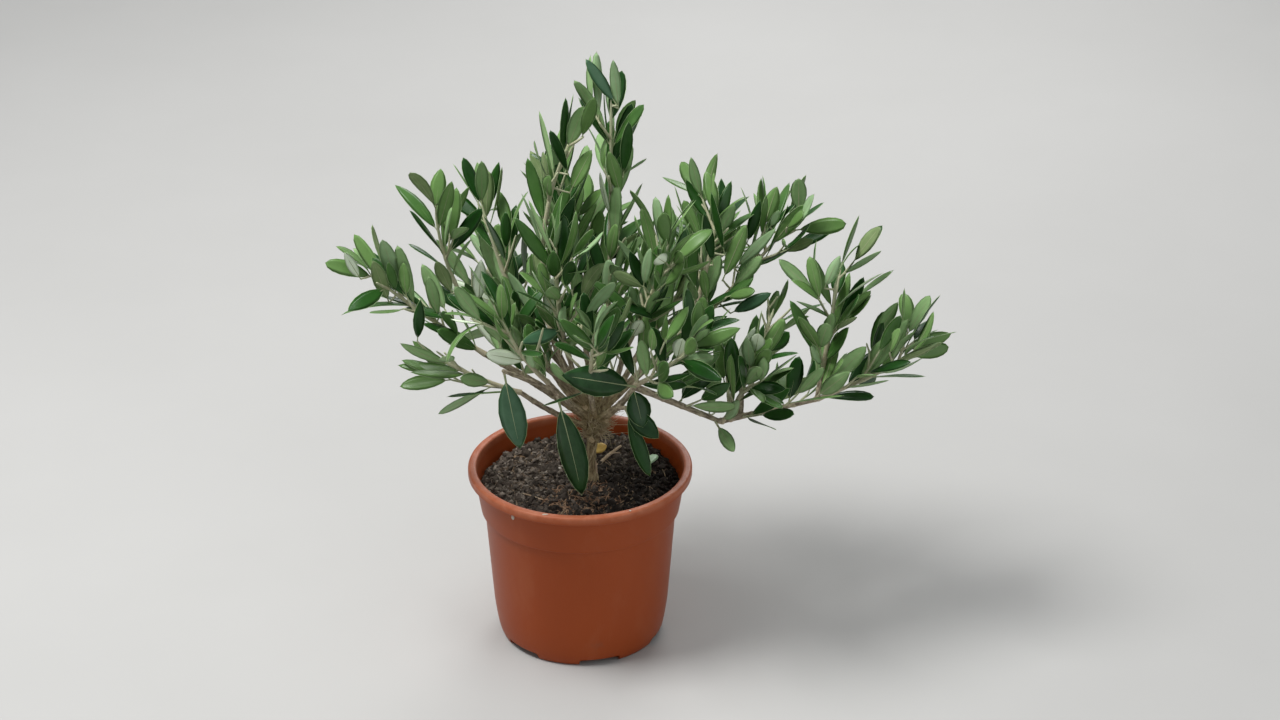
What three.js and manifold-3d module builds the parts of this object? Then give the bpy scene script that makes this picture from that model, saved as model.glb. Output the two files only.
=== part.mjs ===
// A young olive grown as a bonsai, in the plastic nursery pot that it was sold in.
// Millimetres, +Z up. The origin is the middle of the pot's flat underside, and the tree is seen from -Y.
import * as THREE from "three";
import { mergeVertices } from "three/addons/utils/BufferGeometryUtils.js";
import Module from "manifold-3d";

const wasm = await Module();
wasm.setup();

// Clear space between neighbouring pieces
const GAP = 0.3;

// Driving dimensions of the pot
const POT_HEIGHT = 108;
const RIM_RADIUS = 65;
const LIP_HEIGHT = 5;
const LIP_WIDTH = 5;
const LIP_ROUND = 1.5;
const COLLAR_TOP_RADIUS = 61.2;
const COLLAR_FOOT_RADIUS = 57.8;
const COLLAR_FOOT = 81;
const STEP_IN = 2.2;
const FOOT_RADIUS = 45.5;
const FOOT_FLARE = [
  [2.2, 2.4],
  [4, 10],
  [5.6, 22],
];
const WALL = 1.3;
const POT_SIDES = 32;
const DRAINS = 6;
const DRAIN_WIDTH = 24;
const DRAIN_DEPTH = 9;
const DRAIN_HEIGHT = 4.2;
const DRAIN_HEADING = 223;

// Driving dimensions of the soil
const SOIL_LEVEL = 98;
const SOIL_LUMP = 0.9;
const SOIL_RINGS = [1, 0.86, 0.7, 0.52, 0.34, 0];
const FLAT_ROUND_TRUNK = 14;

// Driving dimensions of the trunk and boughs. Its girth is its radius at even steps from foot to head
const TRUNK_FOOT = new THREE.Vector3(6, -4.5, SOIL_LEVEL - 3);
const TRUNK_LEAN = new THREE.Vector3(5.5, -4, 118);
const TRUNK_HEAD = new THREE.Vector3(10, 2, 143);
const TRUNK_GIRTH = [5.6, 4.6, 3.4, 2.9, 2.8, 3.2, 4.6, 6, 5];
const TRUNK_SIDES = 10;
const TRUNK_STEPS = 10;
const BOUGH_SIDES = 6;
const BOUGH_STEPS = 3;

// Driving dimensions of the shoots and leaves
const STEM_THICK = 1.8;
const STEM_THIN = 1;
const STEM_BARE = 0.06;
const STEM_STEPS = 5;
const SHOOT_THICK = 1.05;
const SHOOT_THIN = 0.85;
const SHOOT_BARE = 0.28;
const SHOOT_REACH = 26;
const SHOOT_ANGLE = 50;
const SHOOT_PULL = 0.42;
const LEAF_LENGTH = 31;
const LEAF_WIDTH = 10;
const LEAF_THICKNESS = 0.55;
const LEAF_ROOT = 0.3;
const LEAF_WIDEST = 0.56;
const LEAST_LEAF = 13;
const LEAF_PULL = 0.25;
const PAIR_SPACING = 14.5;
const PAIR_STEP = 1.3;
const PAIR_ANGLE = 37;
const TIP_ANGLE = 20;
const TIP_ROOM = 0.6;
const TIP_SIZE = 0.86;
const HANGING_STALK = 0.13;

// How far leaves keep from each other, from other shoots, from limbs, and from the soil and the pot's rim
const LEAF_ROOM = 3.4;
const TWIG_ROOM = 2.4;
const LIMB_ROOM = 0.8;
const POT_ROOM = 5;

// Pruned stubs on the trunk's head: the way each points, in degrees round and up, and its length
const STUBS = [
  { round: 205, up: 52, at: 0.86, length: 11, thick: 2.1 },
  { round: 325, up: 30, at: 0.82, length: 10, thick: 2 },
  { round: 80, up: 35, at: 0.78, length: 9, thick: 2 },
  { round: 262, up: 12, at: 0.66, length: 7, thick: 1.8 },
];

// Branches: each bough leaves the trunk, or an earlier bough, at a share of its length and ends at the knee.
// Its spray of foliage grows on to the tip, and a spray without forks hangs as one leaf of the width given.
// Bow and lift say how far bough and spray bend outward from their straight lines
const BRANCHES = [
  {
    name: "left", from: "trunk", at: 0.84, thick: 3,
    knee: [-54, -12, 186], bow: -1, tip: [-115, -24, 241], lift: 1, forks: 6,
  },
  {
    name: "front_right", from: "trunk", at: 0.86, thick: 2.6,
    knee: [32, -28, 174], bow: 3, tip: [62, -54, 210], lift: 2, forks: 6,
  },
  {
    name: "right_high", from: "trunk", at: 0.92, thick: 2.8,
    knee: [75, 25, 193], bow: -1, tip: [121, 42, 240], lift: 1, forks: 7,
  },
  {
    name: "leader_left", from: "trunk", at: 0.97, thick: 2.6,
    knee: [-16, 8, 188], bow: 3, tip: [4, 17, 318], lift: 15, forks: 6,
  },
  {
    name: "leader_right", from: "trunk", at: 0.97, thick: 2.6,
    knee: [17, 20, 192], bow: 1, tip: [19, 31, 322], lift: 2, forks: 6,
  },
  {
    name: "left_rise", from: "trunk", at: 0.9, thick: 2.3,
    knee: [-48, 7, 184], bow: -6, tip: [-80, 13, 266], lift: 8, forks: 2,
  },
  {
    name: "left_upright", from: "trunk", at: 0.93, thick: 2.2,
    knee: [-28, 26, 180], bow: -3, tip: [-55, 44, 254], lift: 3, forks: 3,
  },
  {
    name: "left_low", from: "trunk", at: 0.76, thick: 2.1,
    knee: [-34, -15, 163], bow: 2, tip: [-86, -28, 196], lift: 2, forks: 5,
  },
  {
    name: "centre_right", from: "trunk", at: 0.94, thick: 2.4,
    knee: [25, -9, 184], bow: 3, tip: [50, -19, 256], lift: 2, forks: 7,
  },
  {
    name: "centre_left", from: "trunk", at: 0.95, thick: 2.3,
    knee: [-6, -8, 182], bow: 2, tip: [-12, -20, 254], lift: 3, forks: 7,
  },
  {
    name: "front_left", from: "trunk", at: 0.87, thick: 2.3,
    knee: [-18, -28, 176], bow: 2, tip: [-42, -56, 228], lift: 3, forks: 6,
  },
  {
    name: "front", from: "trunk", at: 0.9, thick: 2.1,
    knee: [6, -28, 176], bow: 3, tip: [8, -62, 222], lift: 3, forks: 5,
  },
  {
    name: "right_mid", from: "front_right", at: 0.95, thick: 2.2,
    knee: [82, -18, 143.5], bow: 0, tip: [96, -30, 184], lift: 2, forks: 5,
  },
  {
    name: "right_low", from: "right_mid", at: 0.96, thick: 1.9,
    knee: [137, -8, 153], bow: 0, tip: [190, 0, 177], lift: 1, forks: 6,
  },
  {
    name: "right_rear", from: "right_low", at: 0.2, thick: 1.8,
    knee: [92, 3, 161], bow: 1, tip: [112, 22, 196], lift: 2, forks: 5,
  },
  {
    name: "right_fan", from: "right_high", at: 0.8, thick: 2,
    knee: [68, 21, 201], bow: 0, tip: [79, 31, 250], lift: 1, forks: 5,
  },
  {
    name: "right_rise", from: "right_low", at: 0.98, thick: 1.7,
    knee: [139, -5, 173], bow: 0, tip: [145, -3, 224], lift: 1, forks: 3,
  },
  {
    name: "back", from: "trunk", at: 0.9, thick: 2.6,
    knee: [8, 36, 182], bow: 3, tip: [4, 82, 236], lift: 4, forks: 6,
  },
  {
    name: "back_high", from: "trunk", at: 0.96, thick: 2.3,
    knee: [2, 26, 190], bow: 2, tip: [-10, 56, 262], lift: 3, forks: 6,
  },
  {
    name: "back_left", from: "trunk", at: 0.84, thick: 2.4,
    knee: [-24, 32, 168], bow: 3, tip: [-50, 80, 196], lift: 4, forks: 6,
  },
  {
    name: "back_right", from: "trunk", at: 0.86, thick: 2.4,
    knee: [38, 36, 170], bow: 3, tip: [76, 74, 214], lift: 4, forks: 6,
  },
  {
    name: "hang_left", from: "front_left", at: 0.8, thick: 1.5,
    knee: [-43, -37.5, 188], bow: 0, tip: [-34.5, -42, 139.5], lift: 0, forks: 0, width: 17.5,
  },
  {
    name: "hang_centre", from: "front_left", at: 0.4, thick: 1.5,
    knee: [-13, -30, 168], bow: 0, tip: [2.5, -34, 108.5], lift: 0, forks: 0, width: 17.5,
  },
  {
    name: "hang_right", from: "front_right", at: 0.45, thick: 1.5,
    knee: [26, -30, 160], bow: 0, tip: [39.5, -36, 119], lift: 0, forks: 0, width: 10.5,
  },
];

const UP = new THREE.Vector3(0, 0, 1);
const vector = (point) => new THREE.Vector3(...point);
const radians = THREE.MathUtils.degToRad;
const mix = THREE.MathUtils.lerp;

// A repeatable run of numbers between 0 and 1
function seeded(seed) {
  let state = seed * 7919 + 104729;
  return () => (state = (state * 16807) % 2147483647) / 2147483647;
}

// The curve between two points that bends outward from the trunk's head by the bow
function bowed(start, tip, bow) {
  const middle = start.clone().lerp(tip, 0.5);
  const chord = tip.clone().sub(start).normalize();
  const outward = middle.clone().sub(TRUNK_HEAD).setZ(0);
  outward.addScaledVector(chord, -outward.dot(chord)).normalize();
  return new THREE.QuadraticBezierCurve3(start, middle.addScaledVector(outward, 2 * bow), tip);
}

// A closed three.js geometry as a manifold-3d solid
function solidOf(geometry) {
  const bare = new THREE.BufferGeometry().setAttribute("position", geometry.getAttribute("position"));
  const merged = mergeVertices(bare.setIndex(geometry.getIndex()), 1e-4);
  return new wasm.Manifold(
    new wasm.Mesh({
      numProp: 3,
      vertProperties: merged.getAttribute("position").array,
      triVerts: new Uint32Array(merged.index.array),
    }),
  );
}

// A manifold-3d solid as a three.js geometry
function geometryOf(solid) {
  const mesh = solid.getMesh();
  const geometry = new THREE.BufferGeometry();
  geometry.setAttribute("position", new THREE.BufferAttribute(mesh.vertProperties, 3));
  geometry.setIndex(new THREE.BufferAttribute(mesh.triVerts, 1));
  geometry.computeVertexNormals();
  return geometry;
}

const largest = (solid) => solid.decompose().sort((a, b) => b.volume() - a.volume())[0];

// A round limb bent along a curve. Girth is its radii from foot to tip, and swell makes it fatter and longer
function limb(curve, girth, sides, steps, swell = 0) {
  const corners = Array.from({ length: sides }, (_, i) => (2 * Math.PI * i) / sides);
  const section = new THREE.Shape(corners.map((turn) => new THREE.Vector2(Math.cos(turn), Math.sin(turn))));
  const rod = new THREE.ExtrudeGeometry(section, { depth: 1, steps, bevelEnabled: false });
  const frames = curve.computeFrenetFrames(steps);
  const place = rod.getAttribute("position");
  for (let i = 0; i < place.count; i++) {
    const along = place.getZ(i);
    const step = Math.round(along * steps);
    const part = along * (girth.length - 1);
    const low = Math.min(Math.floor(part), girth.length - 2);
    const radius = mix(girth[low], girth[low + 1], part - low) + swell;
    const overrun = step === 0 ? -swell : step === steps ? swell : 0;
    const point = curve.getPoint(along).addScaledVector(frames.tangents[step], overrun);
    point.addScaledVector(frames.normals[step], place.getX(i) * radius);
    point.addScaledVector(frames.binormals[step], place.getY(i) * radius);
    place.setXYZ(i, ...point.toArray());
  }
  return solidOf(rod);
}

// Two directions square to a tangent: level sideways, and the one that climbs
function sidesOf(tangent) {
  const reference = Math.abs(tangent.z) > 0.8 ? new THREE.Vector3(1, 0, 0) : UP;
  const side = tangent.clone().cross(reference).normalize();
  return [side, side.clone().cross(tangent)];
}

// The direction that leaves a shoot at an angle to its tangent, turned round it, and drawn up to the light
function leaving(tangent, turn, angle, pull) {
  const [side, climb] = sidesOf(tangent);
  const outward = side.multiplyScalar(Math.cos(turn)).addScaledVector(climb, Math.sin(turn));
  return tangent
    .clone()
    .multiplyScalar(Math.cos(angle))
    .addScaledVector(outward, Math.sin(angle))
    .addScaledVector(UP, pull)
    .normalize();
}

// Distance from a point to the nearest of a limb's straight pieces, less the limb's radius there
function clearance(point, axis) {
  let least = Infinity;
  for (let i = 0; i + 1 < axis.points.length; i++) {
    const piece = new THREE.Line3(axis.points[i], axis.points[i + 1]);
    const nearest = piece.closestPointToPoint(point, true, new THREE.Vector3());
    least = Math.min(least, nearest.distanceTo(point) - axis.radius);
  }
  return least;
}

const AXIS_STEPS = 8;
const axisOf = (curve, radius) => ({ points: curve.getPoints(AXIS_STEPS), radius });

// The pot's outer side from its foot to the lip, and its inner side back down to the floor
function potProfile() {
  const lipFoot = POT_HEIGHT - LIP_HEIGHT;
  const bodyTop = COLLAR_FOOT_RADIUS - STEP_IN;
  const flare = FOOT_FLARE.map(([out, height]) => [FOOT_RADIUS + out, height]);
  const outer = [
    [FOOT_RADIUS, 0],
    ...flare,
    [bodyTop, COLLAR_FOOT - 0.5],
    [COLLAR_FOOT_RADIUS, COLLAR_FOOT],
    [COLLAR_TOP_RADIUS, lipFoot],
    [RIM_RADIUS - LIP_ROUND / 2, lipFoot],
    [RIM_RADIUS, lipFoot + LIP_ROUND],
    [RIM_RADIUS, POT_HEIGHT - LIP_ROUND],
    [RIM_RADIUS - LIP_ROUND, POT_HEIGHT],
    [RIM_RADIUS - LIP_WIDTH, POT_HEIGHT],
  ];
  const inner = [
    [COLLAR_FOOT_RADIUS - WALL, COLLAR_FOOT + STEP_IN],
    [bodyTop - WALL, COLLAR_FOOT + WALL / 2],
    ...flare.slice(1).reverse().map(([radius, height]) => [radius - WALL, height]),
    [FOOT_RADIUS, WALL],
  ];
  return { outer, inner };
}

// A profile of radius and height points, turned round the pot's axis
function lathe(profile, sides) {
  const points = profile.map(([radius, height]) => new THREE.Vector2(radius, height));
  return new THREE.LatheGeometry(points, sides).rotateX(Math.PI / 2);
}

// The pot: one thin moulded wall with a lip, a collar that steps in, and drain slots round its foot
function pot() {
  const { outer, inner } = potProfile();
  const shell = lathe([[0, 0], ...outer, ...inner, [0, WALL]], POT_SIDES);
  const slots = [];
  for (let i = 0; i < DRAINS; i++) {
    const heading = radians(DRAIN_HEADING + (i * 360) / DRAINS);
    const slot = new THREE.BoxGeometry(DRAIN_WIDTH, DRAIN_DEPTH, 2 * DRAIN_HEIGHT);
    slot.translate(0, FOOT_RADIUS, 0).rotateZ(heading - Math.PI / 2);
    slots.push(solidOf(slot));
  }
  return solidOf(shell).subtract(wasm.Manifold.union(slots));
}

// The lumps of the soil, from 0 down
const lump = (x, y) =>
  SOIL_LUMP * (Math.sin(x * 0.21 + 1) * Math.cos(y * 0.17 - 2) + 0.6 * Math.sin(x * 0.43 - y * 0.37) - 1.6);

// The soil: it fills the pot to its level, clear of the wall, with a lumpy top that is flat round the trunk
function soil() {
  const inner = potProfile().inner.reverse();
  const wall = inner.map(([radius, height], i) => [radius - 1.5 * GAP, i ? height : height + GAP]);
  const rise = (SOIL_LEVEL - COLLAR_FOOT - STEP_IN) / (POT_HEIGHT - COLLAR_FOOT - STEP_IN);
  const edge = mix(COLLAR_FOOT_RADIUS - WALL, RIM_RADIUS - LIP_WIDTH, rise) - 1.5 * GAP;
  const top = SOIL_RINGS.map((share) => [share * edge, SOIL_LEVEL]);
  const plug = lathe([[0, WALL + GAP], ...wall, ...top], POT_SIDES / 2);
  const place = plug.getAttribute("position");
  for (let i = 0; i < place.count; i++) {
    const [x, y, z] = [place.getX(i), place.getY(i), place.getZ(i)];
    const fromTrunk = Math.hypot(x - TRUNK_FOOT.x, y - TRUNK_FOOT.y);
    if (z > SOIL_LEVEL - GAP && fromTrunk > FLAT_ROUND_TRUNK) place.setZ(i, z + lump(x, y));
  }
  return solidOf(plug);
}

// Grown limbs, by name: their curve, girth and axis, as later limbs leave them and leaves keep clear of them
const limbs = new Map();

// The trunk's limbs: the trunk itself, and the stubs that pruning left on its head
function trunkLimbs() {
  const curve = new THREE.QuadraticBezierCurve3(TRUNK_FOOT, TRUNK_LEAN, TRUNK_HEAD);
  const stubs = STUBS.map(({ round, up, at, length, thick }) => {
    const way = new THREE.Vector3().setFromSphericalCoords(length, radians(90 - up), radians(90 + round));
    const foot = curve.getPoint(at);
    const end = foot.clone().add(way.applyAxisAngle(new THREE.Vector3(1, 0, 0), Math.PI / 2));
    return { curve: new THREE.LineCurve3(foot, end), girth: [thick + 0.8, thick], sides: 6, steps: 1 };
  });
  return [{ curve, girth: TRUNK_GIRTH, sides: TRUNK_SIDES, steps: TRUNK_STEPS }, ...stubs];
}

// A grown limb's solid, or that solid fattened by the gap, which is cut out of what grows beside it
const solidLimb = ({ curve, girth, sides, steps }) => limb(curve, girth, sides, steps);
const swollen = ({ curve, girth, sides, steps }) => limb(curve, girth, sides, steps, GAP);

// Records a limb, so that later ones can leave it and leaves can keep clear of it
function grow(name, pieces) {
  const [{ curve, girth }] = pieces;
  const hollow = wasm.Manifold.union(pieces.map(swollen));
  limbs.set(name, { curve, hollow, axis: axisOf(curve, Math.max(...girth)) });
}

// The trunk: it flares into the soil, where it is cut flat, and swells into the head that the boughs leave
function trunk() {
  const pieces = trunkLimbs();
  grow("trunk", pieces);
  const depth = 20;
  const ground = new THREE.BoxGeometry(2 * depth, 2 * depth, depth);
  ground.translate(TRUNK_FOOT.x, TRUNK_FOOT.y, SOIL_LEVEL + GAP - depth / 2);
  return wasm.Manifold.union(pieces.map(solidLimb)).subtract(solidOf(ground));
}

// A bough: one limb that tapers from its carrier to its knee, cut clear of the limbs that grew before it
function bough({ name, from, at, knee, bow, thick }) {
  const curve = bowed(limbs.get(from).curve.getPoint(at), vector(knee), bow);
  const thin = 0.9 + 0.25 * thick;
  const piece = { curve, girth: [thick, thin], sides: BOUGH_SIDES, steps: BOUGH_STEPS };
  const earlier = wasm.Manifold.union([...limbs.values()].map(({ hollow }) => hollow));
  grow(name, [piece]);
  return largest(solidLimb(piece).subtract(earlier));
}

// A leaf's four corners: its root, sunk in the twig, its two shoulders and its tip
function cornersOf({ seat, way, face, length, width }) {
  const across = way.clone().cross(face).setLength(width / 2);
  const below = way.clone().cross(across).setLength(LEAF_THICKNESS);
  const middle = seat.clone().addScaledVector(way, length * LEAF_WIDEST).add(below);
  return {
    root: seat.clone().addScaledVector(way, -LEAF_ROOT),
    left: middle.clone().sub(across),
    right: middle.clone().add(across),
    tip: seat.clone().addScaledVector(way, length),
  };
}

// A leaf as a slim wedge of four faces, which its midrib tops and its shoulders end
function leaf(spot) {
  const { root, left, right, tip } = cornersOf(spot);
  const faces = [root, left, right, root, right, tip, root, tip, left, left, tip, right];
  return solidOf(new THREE.BufferGeometry().setFromPoints(faces));
}

// The shoots of one spray: its stem, and the side shoots that fork from it by turns to either side
function shootsOf({ curve, forks }, random, mine) {
  const shoots = [{ curve, thick: STEM_THICK, thin: STEM_THIN, bare: STEM_BARE, steps: STEM_STEPS }];
  for (let i = 0; i < forks; i++) {
    const along = mix(0.1, 0.9, (i + 0.2 + 0.6 * random()) / forks);
    const turn = (i % 2) * Math.PI + (random() - 0.5) * 2.2;
    const length = SHOOT_REACH * (1.1 - 0.5 * along) * (0.75 + 0.5 * random());
    const start = curve.getPoint(along);
    const way = leaving(curve.getTangent(along), turn, radians(SHOOT_ANGLE), SHOOT_PULL);
    const side = new THREE.LineCurve3(start, start.clone().addScaledVector(way, length));
    const fits = side.getPoints(4).slice(1).every(mine);
    if (fits) shoots.push({ curve: side, thick: SHOOT_THICK, thin: SHOOT_THIN, bare: SHOOT_BARE, steps: 1 });
  }
  return shoots;
}

// The leaves of one shoot: crossed pairs, a little apart along it, and a pair that ends it
function leavesOf({ curve, bare }, random) {
  const length = curve.getLength();
  const pairs = Math.max(1, Math.round((length * (1 - bare)) / PAIR_SPACING));
  const twist = random() * Math.PI;
  const leaves = [];
  for (let i = 0; i < 2 * (pairs + 1); i++) {
    const pair = Math.floor(i / 2);
    const last = pair === pairs;
    const along = mix(bare, 1, pair / pairs) - ((i % 2) * PAIR_STEP + last * TIP_ROOM) / length;
    const tangent = curve.getTangent(along);
    const turn = twist + (pair / 2 + (i % 2)) * Math.PI + (random() - 0.5) * 0.7;
    const angle = (last ? TIP_ANGLE : PAIR_ANGLE) + 16 * (random() - 0.5);
    const way = leaving(tangent, turn, radians(angle), last ? 0 : LEAF_PULL);
    const face = tangent.clone().addScaledVector(UP, 0.5).addScaledVector(way, -0.2);
    const size = (last ? TIP_SIZE : 1) * (0.76 + 0.42 * random());
    const width = LEAF_WIDTH * (0.85 + 0.3 * random());
    leaves.push({ seat: curve.getPoint(along), way, face, length: LEAF_LENGTH * size, width });
  }
  return leaves;
}

// Whether a point is in a spray's own space: nearest to its own stem, and clear of limbs, pot and soil
function spaceOf(spray, sprays) {
  return (point) => {
    const inPot = point.z < POT_HEIGHT && Math.hypot(point.x, point.y) > COLLAR_FOOT_RADIUS - POT_ROOM;
    if (inPot || point.z < SOIL_LEVEL + POT_ROOM) return false;
    for (const { axis } of limbs.values()) if (clearance(point, axis) < LIMB_ROOM) return false;
    const own = clearance(point, spray.axis);
    return sprays.every((other) => other === spray || clearance(point, other.axis) > own + 2 * GAP);
  };
}

// Points along a leaf's midrib, from where it has left its own twig to its tip
function midrib({ seat, way, length }) {
  return [0.35, 0.6, 0.8, 1].map((share) => seat.clone().addScaledVector(way, share * length));
}

// Whether a leaf keeps to its spray's space and clear of the leaves that are kept already and of other shoots
function hasRoom(spot, kept, others, mine) {
  const { left, right, tip } = cornersOf(spot);
  if (spot.length < LEAST_LEAF || ![left, right, tip].every(mine)) return false;
  const offShoots = (point) => others.every((axis) => clearance(point, axis) > TWIG_ROOM);
  const offLeaf = (point, leaf) => midrib(leaf).every((near) => near.distanceTo(point) > LEAF_ROOM);
  return midrib(spot).every((point) => offShoots(point) && kept.every((leaf) => offLeaf(point, leaf)));
}

// The shoots of a forked spray, and the leaves that have room on them
function forked(spray, sprays) {
  const mine = spaceOf(spray, sprays);
  const random = seeded(spray.seed);
  const shoots = shootsOf(spray, random, mine);
  const kept = [];
  for (const shoot of shoots) {
    const others = shoots.filter((other) => other !== shoot).map(({ curve }) => axisOf(curve, 0));
    for (const spot of leavesOf(shoot, random)) {
      if (hasRoom(spot, kept, others, mine)) kept.push(spot);
    }
  }
  return [shoots, kept];
}

// A spray that hangs: its short stalk, and one leaf from there to its tip that faces outward
function hanging({ curve, width }) {
  const seat = curve.getPoint(HANGING_STALK);
  const stalk = new THREE.LineCurve3(curve.getPoint(0), curve.getPoint(1.1 * HANGING_STALK));
  const face = seat.clone().sub(TRUNK_HEAD).setZ(0);
  const length = seat.distanceTo(curve.getPoint(1));
  const shoot = { curve: stalk, thick: SHOOT_THICK, thin: SHOOT_THIN, steps: 1 };
  return [[shoot], [{ seat, way: curve.getTangent(1), face, length, width }]];
}

// A spray of foliage: its shoots and leaves, in one solid clear of every limb
function foliage(spray, sprays) {
  const [shoots, kept] = spray.forks ? forked(spray, sprays) : hanging(spray);
  const twigs = shoots.map(({ curve, thick, thin, steps }) => limb(curve, [thick, thin], 3, steps));
  const near = [...limbs.values()].map(({ hollow }) => hollow);
  return largest(wasm.Manifold.union([...twigs, ...kept.map(leaf)]).subtract(wasm.Manifold.union(near)));
}

const FINISHES = {
  pot: { color: 0xb5522c, roughness: 0.45, metalness: 0 },
  soil: { color: 0x2b211b, roughness: 1, metalness: 0 },
  bark: { color: 0x7d6f55, roughness: 0.9, metalness: 0 },
  leaf: { color: 0x5f7350, roughness: 0.55, metalness: 0 },
};

function node(name, solid, finish) {
  const mesh = new THREE.Mesh(geometryOf(solid), new THREE.MeshStandardMaterial(FINISHES[finish]));
  mesh.name = name;
  return mesh;
}

// The spray of each branch: its stem starts just inside its bough's end, to be cut clear of it
function spraysOf(branches) {
  return branches.map((branch, i) => {
    const carrier = limbs.get(branch.name).curve;
    const start = carrier.getPoint(1).sub(carrier.getTangent(1));
    const curve = bowed(start, vector(branch.tip), branch.lift);
    return { ...branch, curve, seed: i + 1, axis: axisOf(curve, 0) };
  });
}

function tree() {
  const plant = new THREE.Group();
  plant.add(node("trunk", trunk(), "bark"));
  for (const branch of BRANCHES) plant.add(node("bough_" + branch.name, bough(branch), "bark"));
  const sprays = spraysOf(BRANCHES);
  for (const spray of sprays) plant.add(node("spray_" + spray.name, foliage(spray, sprays), "leaf"));
  return plant;
}

const bonsai = new THREE.Group();
bonsai.add(node("pot", pot(), "pot"));
bonsai.add(node("soil", soil(), "soil"));
bonsai.add(tree());
export default bonsai;
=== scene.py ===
# A young olive grown as a bonsai, in the terracotta-coloured nursery pot that it was sold in.
# Metres, +Z up. The origin is the middle of the pot's flat underside, and the tree is seen from -Y.
import math

import bmesh
import bpy
import numpy as np
from mathutils import Matrix, Vector, geometry, noise


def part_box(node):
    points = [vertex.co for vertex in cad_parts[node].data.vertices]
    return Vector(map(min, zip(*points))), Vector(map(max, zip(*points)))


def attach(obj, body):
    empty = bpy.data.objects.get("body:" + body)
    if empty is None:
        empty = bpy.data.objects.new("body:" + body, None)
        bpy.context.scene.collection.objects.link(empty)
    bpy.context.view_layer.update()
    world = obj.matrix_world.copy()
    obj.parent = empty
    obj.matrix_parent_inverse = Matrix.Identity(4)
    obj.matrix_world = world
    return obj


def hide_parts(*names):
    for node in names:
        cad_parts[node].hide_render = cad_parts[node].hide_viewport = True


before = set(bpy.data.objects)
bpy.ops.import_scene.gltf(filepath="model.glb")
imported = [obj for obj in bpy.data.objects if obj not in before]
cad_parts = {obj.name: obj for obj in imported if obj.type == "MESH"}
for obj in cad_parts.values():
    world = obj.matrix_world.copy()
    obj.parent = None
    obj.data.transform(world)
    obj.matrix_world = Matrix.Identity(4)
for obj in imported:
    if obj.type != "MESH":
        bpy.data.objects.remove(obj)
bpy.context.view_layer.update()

# The pot: a 13 cm nursery pot, moulded in one piece from terracotta-coloured polypropylene.
# A thin wall with a rolled lip, a collar that steps in below it so that pots stack, and a rounded foot.
POT_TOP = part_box("pot")[1]
POT_HEIGHT = POT_TOP.z
RIM_RADIUS = POT_TOP.x
WALL = 0.0013
LIP_HEIGHT = 0.005
LIP_WIDTH = 0.005
LIP_ROUND = 0.0015
COLLAR_TOP_RADIUS = 0.0612
COLLAR_FOOT_RADIUS = 0.0578
COLLAR_FOOT = 0.081
COLLAR_STEP = 0.0022
LIP_POINTS = 8
INNER_LIP_POINTS = 6
FOOT_RADIUS = 0.0455
FOOT_HEIGHT = 0.022
FOOT_POINTS = 12
FOOT_BULGE = 0.0025
FOOT_BULGE_HEIGHT = 0.0002
BODY_FOOT_RADIUS = 0.0511
BODY_TUCK = 0.0017
BODY_TUCK_HEIGHT = 0.008
FLOOR_RADIUS = FOOT_RADIUS - 0.001
FILLET_RADIUS = FOOT_RADIUS + 0.0015
FILLET_HEIGHT = 0.006
EDGE_ROUND = 0.0006
FOOT_RING = 0.009
RING_EDGE = 0.001
FLOOR_RECESS = 0.0008
POT_STEPS = 144
DRAINS = 6
DRAIN_SIZE = (0.009, 0.024, 0.0084)
DRAIN_HEADING = 223
DRAIN_ROUND = 0.0012


def arc(centre, radius, start, end, points=5):
    """Points round part of a circle in the pot's section, with its angles in degrees."""
    angles = np.radians(np.linspace(start, end, points))
    return [(centre[0] + radius * math.cos(a), centre[1] + radius * math.sin(a)) for a in angles]


def pot_outside():
    """The section's outer line, from the middle of the underside up to the top of the lip."""
    foot = geometry.interpolate_bezier(
        Vector((FOOT_RADIUS, 0)),
        Vector((FOOT_RADIUS + FOOT_BULGE, FOOT_BULGE_HEIGHT)),
        Vector((BODY_FOOT_RADIUS - BODY_TUCK, BODY_TUCK_HEIGHT)),
        Vector((BODY_FOOT_RADIUS, FOOT_HEIGHT)),
        FOOT_POINTS,
    )
    lip_foot = POT_HEIGHT - LIP_HEIGHT
    body_top = COLLAR_FOOT_RADIUS - COLLAR_STEP
    ring = FOOT_RADIUS - FOOT_RING
    return [
        (0, FLOOR_RECESS),
        (ring - RING_EDGE, FLOOR_RECESS),
        (ring, 0),
        *[tuple(point)[:2] for point in foot],
        *arc((body_top + EDGE_ROUND, COLLAR_FOOT - EDGE_ROUND), EDGE_ROUND, 180, 90),
        *arc((COLLAR_FOOT_RADIUS - EDGE_ROUND, COLLAR_FOOT + EDGE_ROUND), EDGE_ROUND, 270, 360),
        *arc((COLLAR_TOP_RADIUS + EDGE_ROUND, lip_foot - EDGE_ROUND), EDGE_ROUND, 180, 90),
        *arc((RIM_RADIUS - EDGE_ROUND, lip_foot + EDGE_ROUND), EDGE_ROUND, 270, 360),
        *arc((RIM_RADIUS - LIP_ROUND, POT_HEIGHT - LIP_ROUND), LIP_ROUND, 0, 90, LIP_POINTS),
    ]


def pot_inside():
    """The section's inner line, from the lip down the wall to the middle of the floor."""
    top = RIM_RADIUS - LIP_WIDTH
    body_top = COLLAR_FOOT_RADIUS - COLLAR_STEP - WALL
    return [
        *arc((top + LIP_ROUND, POT_HEIGHT - LIP_ROUND), LIP_ROUND, 90, 180, INNER_LIP_POINTS),
        (COLLAR_FOOT_RADIUS - WALL, COLLAR_FOOT + 2 * WALL),
        (body_top, COLLAR_FOOT + WALL / 2),
        (BODY_FOOT_RADIUS - WALL, FOOT_HEIGHT),
        (FILLET_RADIUS, FILLET_HEIGHT),
        (FLOOR_RADIUS, WALL + FLOOR_RECESS),
        (0, WALL + FLOOR_RECESS),
    ]


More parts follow.
